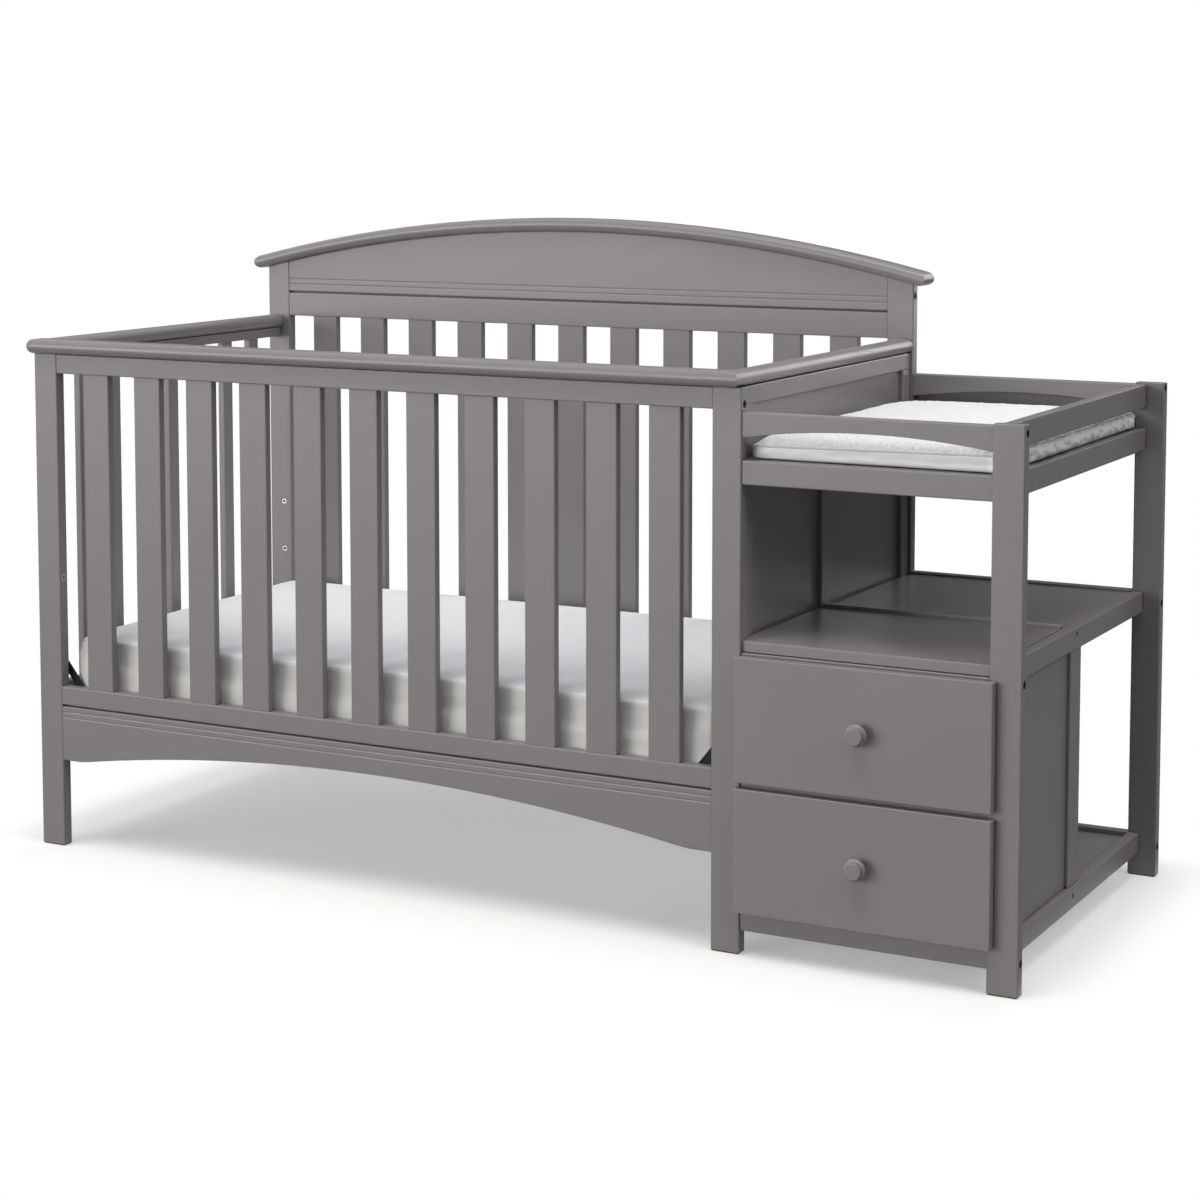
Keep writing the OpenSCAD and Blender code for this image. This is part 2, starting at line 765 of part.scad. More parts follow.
// Both end caps are scribed round the front cap's back edge
module end_cap(x) {
    difference() {
        nose_bar_y(x, front_nose_y, cap_z, back_post_y - front_nose_y, end_cap_w, cap_t);
        rod_x(x - overshoot, front_nose_y, cap_z + nose_r, end_cap_w + 2 * overshoot, cap_t);
    }
}

module left_end_cap() {
    color(GREY) end_cap(0);
}

module right_end_cap() {
    color(GREY) end_cap(crib_length - end_cap_w);
}

function end_slat_y(i) = end_slat_first + i * end_slat_pitch;

module end_mortises(z) {
    for (i = [0 : end_slat_count - 1]) panel(
        [left_slat_x - tenon_gap, end_slat_y(i) - tenon_gap, z - tenon - tenon_gap],
        [slat_t + 2 * tenon_gap, end_slat_w + 2 * tenon_gap, 2 * (tenon + tenon_gap)]);
}

module end_rail(x, z, h, dowel) {
    difference() {
        board_y([x, post_t, z], [end_rail_t, inner_d, h]);
        dowel_hole_y(post_t, 1, dowel);
        dowel_hole_y(back_post_y, -1, dowel);
    }
}

module left_end_rails() {
    top_z = cap_z - left_rail_h;
    color(GREY) {
        difference() {
            end_rail(left_rail_x, top_z, left_rail_h, left_dowels[0]);
            end_mortises(top_z);
        }
        difference() {
            end_rail(left_rail_x, bottom_rail_z, bottom_rail_h, left_dowels[1]);
            end_mortises(bottom_rail_top);
        }
    }
}

module left_end_slats() {
    h = cap_z - left_rail_h - bottom_rail_top + 2 * tenon;
    color(GREY) for (i = [0 : end_slat_count - 1])
        board_z([left_slat_x, end_slat_y(i), bottom_rail_top - tenon], [slat_t, end_slat_w, h]);
}

module right_end_rails() {
    color(GREY) {
        end_rail(right_rail_x, cap_z - right_rail_h, right_rail_h, right_dowels[0]);
        end_rail(right_rail_x, base_z, base_rail_h, right_dowels[1]);
    }
}

right_stile_h = cap_z - right_rail_h - base_top;
mid_stile_h = deck_z - board_t - base_top;

module right_end_stiles() {
    color(GREY) {
        board_z([right_rail_x, post_t, base_top], [end_rail_t, stile_w, right_stile_h]);
        panel([right_rail_x, mid_stile_y, base_top], [end_rail_t, mid_stile_w, mid_stile_h]);
        board_z([right_rail_x, back_post_y - stile_w, base_top], [end_rail_t, stile_w, right_stile_h]);
    }
}

// One panel, cut out round the middle stile, which ends under the deck
module right_end_panels() {
    x = right_face_x - end_panel_recess - end_panel_t;
    color(GREY) difference() {
        panel([x, post_t + stile_w, base_top], [end_panel_t, inner_d - 2 * stile_w, right_stile_h]);
        panel([x - overshoot, mid_stile_y, base_top - overshoot],
            [end_panel_t + 2 * overshoot, mid_stile_w, mid_stile_h + overshoot]);
    }
}

// ---- Mattress support ----

// Angle steel frame with its flat leg on top, turned in
module support_frame() {
    leg = [angle_t, angle_t, 0];
    flat = [angle_w, angle_w, 0];
    corner = [angle_x0, angle_y0, support_z];
    outside = [angle_l, angle_d, angle_h];
    color(BLACK) difference() {
        translate(corner) cube(outside);
        translate(corner + leg - [0, 0, overshoot])
            cube(outside - 2 * leg + [0, 0, overshoot - angle_t]);
        translate(corner + flat - [0, 0, overshoot])
            cube(outside - 2 * flat + [0, 0, 2 * overshoot]);
    }
}

// Welded mesh: the wires across lie on the frame, and those along it are welded under them
module support_mesh() {
    x0 = angle_x0 + angle_t;
    y0 = angle_y0 + angle_t;
    x_span = angle_l - 2 * angle_t;
    y_span = angle_d - 2 * angle_t;
    long_x0 = angle_x0 + angle_w + slide_gap;
    color(STEEL) {
        for (i = [1 : cross_wires])
            rod_y(x0 + x_span * i / (cross_wires + 1), y0, support_top + wire_d / 2, y_span, wire_d);
        for (i = [1 : long_wires])
            rod_x(long_x0, y0 + y_span * i / (long_wires + 1), support_top - wire_d / 4,
                angle_l - 2 * (long_x0 - angle_x0), wire_d);
    }
}

// Plate that hooks over a bolt, leans in and runs down to the frame; seen from the front, on the left.
// Its outer side is cut straight, clear of the right end's stiles.
module hanger_outline() {
    lean = atan2(hanger_z - hanger_knee_z, hanger_foot_x - hanger_x);
    leg_l = norm([hanger_foot_x - hanger_x, hanger_z - hanger_knee_z]);
    eye_r = 12;
    clear_x = right_inset + end_rail_t + slide_gap;
    slot = bolt_d + 2 * slide_gap;
    difference() {
        union() {
            translate([hanger_x, hanger_z]) {
                circle(eye_r, $fn = 2 * SMALL);
                rotate(-lean) translate([0, -hanger_w / 2]) square([leg_l, hanger_w]);
            }
            translate([hanger_foot_x, hanger_knee_z]) circle(hanger_w / 2, $fn = 2 * SMALL);
            translate([hanger_foot_x - hanger_w / 2, support_z])
                square([hanger_w, hanger_knee_z - support_z]);
        }
        translate([0, hanger_knee_z]) square([clear_x, 100]);
        translate([hanger_x, hanger_z]) circle(d = slot, $fn = SMALL);
        translate([hanger_x - slot / 2, hanger_z - 2 * hanger_w]) square([slot, 2 * hanger_w]);
    }
}

module support_hangers() {
    color(BLACK) for (y = [post_t + slide_gap, back_post_y - slide_gap - hanger_t], side = [0, 1])
        translate([side * crib_length, y + hanger_t, 0]) mirror([side, 0, 0])
            rotate([90, 0, 0]) linear_extrude(hanger_t) hanger_outline();
}

// ---- Cushions ----

CORNER_STEPS = 6;
SIDE_STEPS = 8;

// Outline of a cushion of l by w about the origin, with corner radius r and sides drawn in by d
function side_points(a, b, r, d, turn) = [for (i = [0 : SIDE_STEPS - 1])
    let (t = -1 + 2 * i / SIDE_STEPS) turned([a - d * (1 - t * t), t * (b - r)], turn)];
function corner_points(a, b, r, turn) = [for (i = [0 : CORNER_STEPS - 1])
    let (q = 90 * i / CORNER_STEPS) turned([a - r + r * cos(q), b - r + r * sin(q)], turn)];
function turned(p, q) = [p[0] * cos(q) - p[1] * sin(q), p[0] * sin(q) + p[1] * cos(q)];
function cushion_outline(l, w, r, d) = concat(
    side_points(l / 2, w / 2, r, d, 0), corner_points(l / 2, w / 2, r, 0),
    side_points(w / 2, l / 2, r, d, 90), corner_points(w / 2, l / 2, r, 90),
    side_points(l / 2, w / 2, r, d, 180), corner_points(l / 2, w / 2, r, 180),
    side_points(w / 2, l / 2, r, d, 270), corner_points(w / 2, l / 2, r, 270));

// A closed cushion: rings holds [scale of the outline, inset of the outline, height] from the bottom up
module cushion(l, w, r, d, rings) {
    n = len(cushion_outline(l, w, r, d));
    last = len(rings) - 1;
    points = concat(
        [for (ring = rings)
            for (p = cushion_outline(l - 2 * ring[1], w - 2 * ring[1], r - min(ring[1], r - 1), d))
                [ring[0] * p[0], ring[0] * p[1], ring[2]]],
        [[0, 0, rings[0][2]], [0, 0, rings[last][2]]]);
    sides = [for (k = [0 : last - 1], i = [0 : n - 1])
        let (j = (i + 1) % n, a = k * n, b = a + n)
            each [[a + i, b + i, b + j], [a + i, b + j, a + j]]];
    ends = [for (i = [0 : n - 1])
        let (j = (i + 1) % n, top = last * n)
            each [[len(points) - 2, i, j], [len(points) - 1, top + j, top + i]]];
    polyhedron(points, concat(sides, ends));
}

module mattress() {
    h = mattress_edge_h;
    c = mattress_crown;
    color(TICKING) translate([crib_mid, crib_depth / 2, mattress_z])
        cushion(mattress_l, mattress_w, 50, mattress_draw, [
            [0.5, 0, 0], [1, 22, 0], [1, 9, 2.5], [1, 3.5, 8], [1, 5.5, 14], [1, 1, 0.33 * h],
            [1, 0, 0.55 * h], [1, 2, 0.78 * h], [1, 5.5, h - 12], [1, 3.5, h - 7], [1, 9, h - 1.5],
            [1, 22, h], [0.9, 22, h + 0.45 * c], [0.7, 22, h + 0.8 * c], [0.3, 22, h + c],
        ]);
}

// The pad has a piped seam round it, above its lower half
module changing_pad() {
    h = pad_edge_h;
    c = pad_crown;
    x0 = crib_length + pad_gap;
    x1 = outer_rail_x - pad_gap + 1;
    color(TERRY) translate([(x0 + x1) / 2, crib_depth / 2, deck_z + slide_gap])
        cushion(x1 - x0, inner_d - 2 * pad_gap - 4, 34, pad_draw, [
            [0.5, 0, 0], [1, 12, 0], [1, 4, 3], [1, 1, 9], [1, 2, 17], [1, 3, 20], [1, 0, 21.5],
            [1, 0, 24], [1, 3, 25.5], [1, 7, h - 2], [1, 12, h + 0.1 * c], [1, 24, h + 0.34 * c],
            [0.86, 24, h + 0.62 * c], [0.66, 24, h + 0.86 * c], [0.3, 24, h + c],
        ]);
}

// ---- Top of the changer ----

module arched_guard(y) {
    difference() {
        board_x([crib_length, y, guard_z], [changer_width, bar_t, guard_h]);
        translate([crib_length + changer_width / 2, y - overshoot, guard_z + guard_rise - guard_arc_r])
            rotate([-90, 0, 0]) cylinder(h = bar_t + 2 * overshoot, r = guard_arc_r, $fn = LARGE);
    }
}

module front_guard() {
    color(GREY) difference() {
        arched_guard(front_bar_y);
        rail_end_seats(crib_length, outer_post_x, [changer_front_bolts[0]]);
    }
}

// The back guard has a thin panel behind it, flush with the posts, which reaches down over the deck's rail
module back_guard() {
    z0 = deck_z - board_t;
    color(GREY) difference() {
        union() {
            arched_guard(back_bar_y);
            panel([crib_length, crib_depth - back_panel_t, z0],
                [changer_width, back_panel_t, guard_z + guard_h - edge_r - z0]);
        }
        rail_end_seats(crib_length, outer_post_x, [changer_back_bolts[0]]);
    }
}

// Rail on the changer's outer side, between its posts
module outer_rail(z, h, dowel) {
    difference() {
        board_y([outer_rail_x, post_t, z], [bar_t, inner_d, h]);
        dowel_hole_y(post_t, 1, dowel);
        dowel_hole_y(back_post_y, -1, dowel);
    }
}

module side_guard() {
    color(GREY) outer_rail(guard_z, guard_h, outer_dowels[0]);
}

module front_deck_rail() {
    color(GREY) difference() {
        board_x([crib_length, front_bar_y, deck_rail_z], [changer_width, bar_t, deck_rail_h]);
        dowel_hole_x(crib_length, 1, front_deck_dowel);
        dowel_hole_x(outer_post_x, -1, front_deck_dowel);
    }
}

module back_deck_rail() {
    color(GREY) difference() {
        board_x([crib_length, back_bar_y, deck_rail_z], [changer_width, bar_t, deck_rail_h]);
        dowel_hole_x(crib_length, 1, back_deck_dowel);
        dowel_hole_x(outer_post_x, -1, back_deck_dowel);
    }
}

module side_deck_rail() {
    color(GREY) outer_rail(deck_rail_z, deck_rail_h, outer_dowels[1]);
}

bay_x = right_face_x;
bay_w = outer_rail_x - right_face_x;

module changer_deck() {
    color(GREY) panel([bay_x, post_t, deck_z - board_t], [bay_w, inner_d, board_t]);
}

// ---- Shelf and base ----

module screw_holes(z) {
    rod_x(outer_rail_x + bar_t - screw_l, screw_y, z, screw_l + overshoot, screw_d + 2 * fit_gap);
    rod_x(outer_rail_x + bar_t - 3, screw_y, z, 3 + overshoot, screw_head_d + 2 * fit_gap);
}

module shelf_front_board() {
    color(GREY) {
        board_x([crib_length, shelf_front_edge, shelf_z - shelf_front_t],
            [changer_width, post_t - shelf_front_edge, shelf_front_t]);
        panel([bay_x, post_t, shelf_z - shelf_front_t],
            [bay_w, shelf_front_d - post_t, shelf_front_t]);
    }
}

module shelf_back_board() {
    color(GREY) difference() {
        panel([bay_x, shelf_back_y, shelf_back_z - board_t],
            [bay_w, back_post_y - shelf_back_y, board_t]);
        screw_holes(screw_zs[0]);
    }
}

module side_shelf_rail() {
    color(GREY) difference() {
        outer_rail(shelf_rail_z, shelf_rail_h, outer_dowels[2]);
        screw_holes(screw_zs[0]);
    }
}

module back_shelf_rail() {
    color(GREY) difference() {
        board_x([crib_length, back_bar_y, back_shelf_rail_z], [changer_width, bar_t, shelf_rail_h]);
        rail_end_seats(crib_length, outer_post_x, [changer_back_bolts[1]]);
    }
}

module base_front_rail() {
    color(GREY) difference() {
        board_x([crib_length, front_bar_y, base_z], [changer_width, bar_t, base_front_h]);
        rail_end_seats(crib_length, outer_post_x, [changer_front_bolts[2]]);
    }
}

module base_side_rail() {
    color(GREY) difference() {
        outer_rail(base_z, base_rail_h, outer_dowels[3]);
        screw_holes(screw_zs[1]);
    }
}

module base_back_rail() {
    color(GREY) difference() {
        board_x([crib_length, back_bar_y, base_z], [changer_width, bar_t, base_rail_h]);
        rail_end_seats(crib_length, outer_post_x, [changer_back_bolts[2]]);
    }
}

module base_shelf() {
    color(GREY) difference() {
        panel([bay_x, post_t, base_shelf_z - board_t], [bay_w, inner_d - base_back_gap, board_t]);
        screw_holes(screw_zs[1]);
    }
}

// ---- Drawer case ----

// Rail under the shelf's front board, and the rail behind the gap between the drawers
module case_rails() {
    h = shelf_z - shelf_front_t - case_rail_z;
    divider_z = drawers_bottom + drawer_front_h - divider_lap;
    color(GREY) {
        difference() {
            panel([crib_length, front_bar_y, case_rail_z], [changer_width, bar_t, h]);
            rail_end_seats(crib_length, outer_post_x, [changer_front_bolts[1]]);
        }
        panel([crib_length, front_bar_y, divider_z], [changer_width, bar_t, drawer_gap + 2 * divider_lap]);
    }
}

module case_side_panel() {
    color(GREY) panel([outer_rail_x, post_t, base_top],
        [case_panel_t, case_side_d, shelf_rail_z - base_top]);
}

module case_stile() {
    color(GREY) board_z([outer_rail_x, post_t + case_side_d, base_top],
        [case_stile_t, case_stile_w, shelf_rail_z - base_top]);
}

module case_back_panel() {
    z0 = base_shelf_z;
    color(GREY) panel([bay_x, case_back_y, z0], [bay_w, case_back_t, shelf_z + shelf_lip - z0]);
}

// Battens that fill the end's inset behind the runners on the crib's side
module case_battens() {
    color(GREY) for (z = [runner_z, runner_z + drawer_lift])
        panel([right_face_x, post_t, z - runner_h / 2 - 4],
            [right_inset, case_back_y - post_t, runner_h + 8]);
}

// Channel of a runner, open to the drawer, that lies on a face at x and looks along dir
module fixed_runner(x, dir, z) {
    h = runner_h / 2;
    t = runner_wall;
    lip = 5;
    translate([x, post_t + 2 + runner_l, z]) mirror([dir < 0 ? 1 : 0, 0, 0]) rotate([90, 0, 0])
        linear_extrude(runner_l) polygon([
            [0, -h], [runner_depth, -h], [runner_depth, lip - h], [runner_depth - t, lip - h],
            [runner_depth - t, t - h], [t, t - h], [t, h - t], [runner_depth - t, h - t],
            [runner_depth - t, h - lip], [runner_depth, h - lip], [runner_depth, h], [0, h],
        ]);
}

module fixed_runners() {
    color(STEEL) for (z = [runner_z, runner_z + drawer_lift]) {
        fixed_runner(crib_length, 1, z);
        fixed_runner(outer_post_x, -1, z);
    }
}

// ---- Drawers, each lifted by z ----

module drawer_front(z) {
    x0 = crib_length - overlay_left;
    x1 = outer_post_x + overlay_right;
    board_z([x0, -drawer_front_gap - drawer_front_t, drawers_bottom + z],
        [x1 - x0, drawer_front_t, drawer_front_h]);
}

module drawer_box(z) {
    t = drawer_side_t;
    w = drawer_x1 - drawer_x0;
    y0 = -drawer_front_gap;
    z0 = drawer_box_z + z;
    for (x = [drawer_x0, drawer_x1 - t]) panel([x, y0, z0], [t, drawer_d, drawer_box_h]);
    for (y = [y0, y0 + drawer_d - t]) panel([drawer_x0 + t, y, z0], [w - 2 * t, t, drawer_box_h]);
    panel([drawer_x0 + t, y0 + t, z0 + drawer_bottom_lift],
        [w - 2 * t, drawer_d - 2 * t, drawer_bottom_t]);
}

// Turned knob: a stem, a rim with a round edge, a step and a flat face with an eased edge
module drawer_knob(z) {
    r = knob_d / 2;
    face_r = 0.78 * r;
    rim_r = 2.5;
    ease = 2;
    rim_z = knob_h - 15;
    step_z = rim_z + 2 * rim_r;
    face_z = step_z + 2.5;
    translate([(crib_length - overlay_left + outer_post_x + overlay_right) / 2,
        -drawer_front_gap - drawer_front_t, drawers_bottom + drawer_front_h / 2 + z])
        rotate([90, 0, 0]) rotate_extrude($fn = 2 * SMALL) {
            square([0.42 * r, rim_z]);
            square([0.62 * r, 2]);
            translate([0, rim_z]) square([r - rim_r, 2 * rim_r]);
            translate([r - rim_r, rim_z + rim_r]) circle(rim_r, $fn = SMALL);
            translate([0, step_z]) square([0.88 * r, 2.5]);
            translate([0, face_z]) square([face_r, knob_h - ease - face_z]);
            translate([face_r - ease, knob_h - ease]) circle(ease, $fn = SMALL);
            square([face_r - ease, knob_h]);
        }
}

// Moving runner: a web on the drawer's side and a bar that rides in the channel
module moving_runner(x, dir, z) {
    web = 2;
    mouth = runner_space - runner_depth;
    bar_h = runner_h / 2 - runner_wall - slide_gap;
    neck_h = runner_h / 2 - 7;
    bar_x = runner_space - runner_wall - slide_gap;
    neck_x = mouth + runner_wall + slide_gap;
    translate([x, runner_l, z]) mirror([dir < 0 ? 1 : 0, 0, 0]) rotate([90, 0, 0])
        linear_extrude(runner_l) polygon([
            [0, -bar_h], [web, -bar_h], [web, -neck_h], [neck_x, -neck_h], [neck_x, -bar_h],
            [bar_x, -bar_h], [bar_x, bar_h], [neck_x, bar_h], [neck_x, neck_h], [web, neck_h],
            [web, bar_h], [0, bar_h],
        ]);
}

module drawer_runners(z) {
    moving_runner(drawer_x0, -1, runner_z + z);
    moving_runner(drawer_x1, 1, runner_z + z);
}

module upper_drawer_front() {
    color(GREY) drawer_front(drawer_lift);
}

module upper_drawer_box() {
    color(PLY) drawer_box(drawer_lift);
}

module upper_drawer_knob() {
    color(GREY) drawer_knob(drawer_lift);
}

module upper_drawer_runners() {
    color(STEEL) drawer_runners(drawer_lift);
}

module lower_drawer_front() {
    color(GREY) drawer_front(0);
}

module lower_drawer_box() {
    color(PLY) drawer_box(0);
}

module lower_drawer_knob() {
    color(GREY) drawer_knob(0);
}

module lower_drawer_runners() {
    color(STEEL) drawer_runners(0);
}

// ---- Fasteners ----

// Bolt that holds a hanger: its head is on the hanger, and its shank is in the post behind
module hanger_bolt(x, y, turn) {
    translate([x, y, hanger_z]) rotate(turn) difference() {
        union() {
            translate([0, 0, hanger_t + 2 * slide_gap]) cylinder(h = 4, d = 16, $fn = SMALL);
            translate([0, 0, 3 - insert_l]) cylinder(h = insert_l + hanger_t, d = bolt_d, $fn = SMALL);
        }
        translate([0, 0, hanger_t + 2]) cylinder(h = 4, d = 5, $fn = 6);
    }
}

module outer_screw(z) {
    difference() {
        union() {
            rod_x(outer_rail_x + bar_t - screw_l, screw_y, z, screw_l - 0.5, screw_d);
            rod_x(outer_rail_x + bar_t - 3, screw_y, z, 2.5, screw_head_d);
        }
        rod_x(outer_rail_x + bar_t - 2, screw_y, z, 3, 3);
    }
}

module frame_bolts() {
    outer_face = outer_post_x + post_w;
    color(BLACK) {
        for (at = concat(front_bolts, head_bolts)) {
            frame_bolt(0, 1, at);
            frame_bolt(crib_length, -1, at);
        }
        for (at = concat(changer_front_bolts, changer_back_bolts)) {
            frame_bolt(right_post_x, 1, at);
            frame_bolt(outer_face, -1, at);
        }
        for (x = [hanger_x, crib_length - hanger_x]) {
            hanger_bolt(x, post_t, [-90, 0, 0]);
            hanger_bolt(x, back_post_y, [90, 0, 0]);
        }
        for (z = screw_zs) outer_screw(z);
    }
}

module threaded_inserts() {
    color(STEEL) {
        for (at = concat(front_bolts, head_bolts)) {
            insert_sleeve([post_w, at[0], at[1]], [0, 90, 0]);
            insert_sleeve([right_post_x, at[0], at[1]], [0, -90, 0]);
        }
        for (at = concat(changer_front_bolts, changer_back_bolts)) {
            insert_sleeve([crib_length, at[0], at[1]], [0, 90, 0]);
            insert_sleeve([outer_post_x, at[0], at[1]], [0, -90, 0]);
        }
        for (x = [hanger_x, crib_length - hanger_x], z = bolt_heights) {
            insert_sleeve([x, post_t, z], [90, 0, 0]);
            insert_sleeve([x, back_post_y, z], [-90, 0, 0]);
        }
        insert_sleeve([post_w, post_t / 2, spare_insert_z], [0, -90, 0]);
        insert_sleeve([right_post_x, post_t / 2, spare_insert_z], [0, 90, 0]);
    }
}

module dowels() {
    color(BEECH) {
        for (at = concat(left_dowels, right_dowels, outer_dowels)) {
            dowel_y(post_t, 1, at);
            dowel_y(back_post_y, -1, at);
        }
        for (at = [apron_dowel, head_rail_dowel]) {
            dowel_x(post_w, 1, at);
            dowel_x(right_post_x, -1, at);
        }
        for (at = [front_deck_dowel, back_deck_dowel]) {
            dowel_x(crib_length, 1, at);
            dowel_x(outer_post_x, -1, at);
        }
    }
}

centred() front_left_post();
centred() front_right_post();
centred() front_cap();
centred() front_top_rail();
centred() front_slats();
centred() front_bottom_rail();
centred() front_apron();
centred() headboard_left_post();
centred() headboard_right_post();
centred() headboard_cap();
centred() headboard_panel();
centred() headboard_rail();
centred() headboard_slats();
centred() headboard_bottom_rail();
centred() left_end_cap();
centred() left_end_rails();
centred() left_end_slats();
centred() right_end_cap();
centred() right_end_rails();
centred() right_end_stiles();
centred() right_end_panels();
centred() support_frame();
centred() support_mesh();
centred() support_hangers();
centred() mattress();
centred() changer_front_post();
centred() changer_back_post();
centred() front_guard();
centred() side_guard();
centred() back_guard();
centred() front_deck_rail();
centred() side_deck_rail();
centred() back_deck_rail();
centred() changer_deck();
centred() changing_pad();
centred() shelf_front_board();
centred() shelf_back_board();
centred() side_shelf_rail();
centred() back_shelf_rail();
centred() base_front_rail();
centred() base_side_rail();
centred() base_back_rail();
centred() base_shelf();
centred() case_rails();
centred() case_side_panel();
centred() case_stile();
centred() case_back_panel();
centred() case_battens();
centred() fixed_runners();
centred() upper_drawer_front();
centred() upper_drawer_box();
centred() upper_drawer_knob();
centred() upper_drawer_runners();
centred() lower_drawer_front();
centred() lower_drawer_box();
centred() lower_drawer_knob();
centred() lower_drawer_runners();
centred() frame_bolts();
centred() threaded_inserts();
centred() dowels();
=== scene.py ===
"""Looks of a crib with an attached changing table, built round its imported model."""

import json
import logging
import math
from dataclasses import dataclass
from enum import Enum
from typing import Any, ClassVar

import bmesh
import bpy
from mathutils import Matrix, Vector, noise
from mathutils.bvhtree import BVHTree


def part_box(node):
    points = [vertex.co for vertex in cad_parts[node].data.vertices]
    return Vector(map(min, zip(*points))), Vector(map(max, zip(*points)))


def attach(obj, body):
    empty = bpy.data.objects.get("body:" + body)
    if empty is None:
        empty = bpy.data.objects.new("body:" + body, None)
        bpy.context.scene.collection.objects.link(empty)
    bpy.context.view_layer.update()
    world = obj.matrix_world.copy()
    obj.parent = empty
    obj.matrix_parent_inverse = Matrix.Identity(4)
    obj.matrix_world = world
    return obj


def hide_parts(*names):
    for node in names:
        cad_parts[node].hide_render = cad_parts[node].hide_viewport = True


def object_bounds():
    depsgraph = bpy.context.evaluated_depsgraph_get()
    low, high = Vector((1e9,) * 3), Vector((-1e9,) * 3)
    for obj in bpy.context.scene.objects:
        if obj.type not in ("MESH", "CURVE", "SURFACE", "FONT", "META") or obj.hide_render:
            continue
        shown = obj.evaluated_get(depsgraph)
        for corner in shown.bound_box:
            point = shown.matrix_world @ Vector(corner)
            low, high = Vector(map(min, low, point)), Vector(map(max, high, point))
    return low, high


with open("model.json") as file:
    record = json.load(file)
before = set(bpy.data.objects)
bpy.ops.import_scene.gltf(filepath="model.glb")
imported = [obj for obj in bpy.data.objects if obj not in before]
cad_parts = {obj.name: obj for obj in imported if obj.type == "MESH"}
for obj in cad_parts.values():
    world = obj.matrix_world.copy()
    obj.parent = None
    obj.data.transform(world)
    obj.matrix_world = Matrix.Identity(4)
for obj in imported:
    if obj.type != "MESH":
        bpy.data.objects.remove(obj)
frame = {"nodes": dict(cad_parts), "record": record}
CAD_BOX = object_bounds()

LOG = logging.getLogger("crib_with_changer")
FRAME_SIDE = 1200
MM = 0.001
WHITE = (1.0, 1.0, 1.0, 1.0)

Pair = tuple[float, float]
Triple = tuple[float, float, float]
Colour = Triple
Piece = bpy.types.Object


class Slot(Enum):
    """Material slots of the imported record."""

    PAINT = "grey_paint"
    BLACK_STEEL = "black_steel"
    ZINC = "zinc_steel"
    MATTRESS = "mattress_cover"
    TERRY = "terry_cover"
    DRAWER_WOOD = "drawer_wood"
    BEECH = "beech"


class Side(Enum):
    """Sides of a padded piece, as the direction that each faces."""

    LEFT = (-1.0, 0.0)
    RIGHT = (1.0, 0.0)
    FRONT = (0.0, -1.0)
    BACK = (0.0, 1.0)


# ---- Shader and geometry trees ----


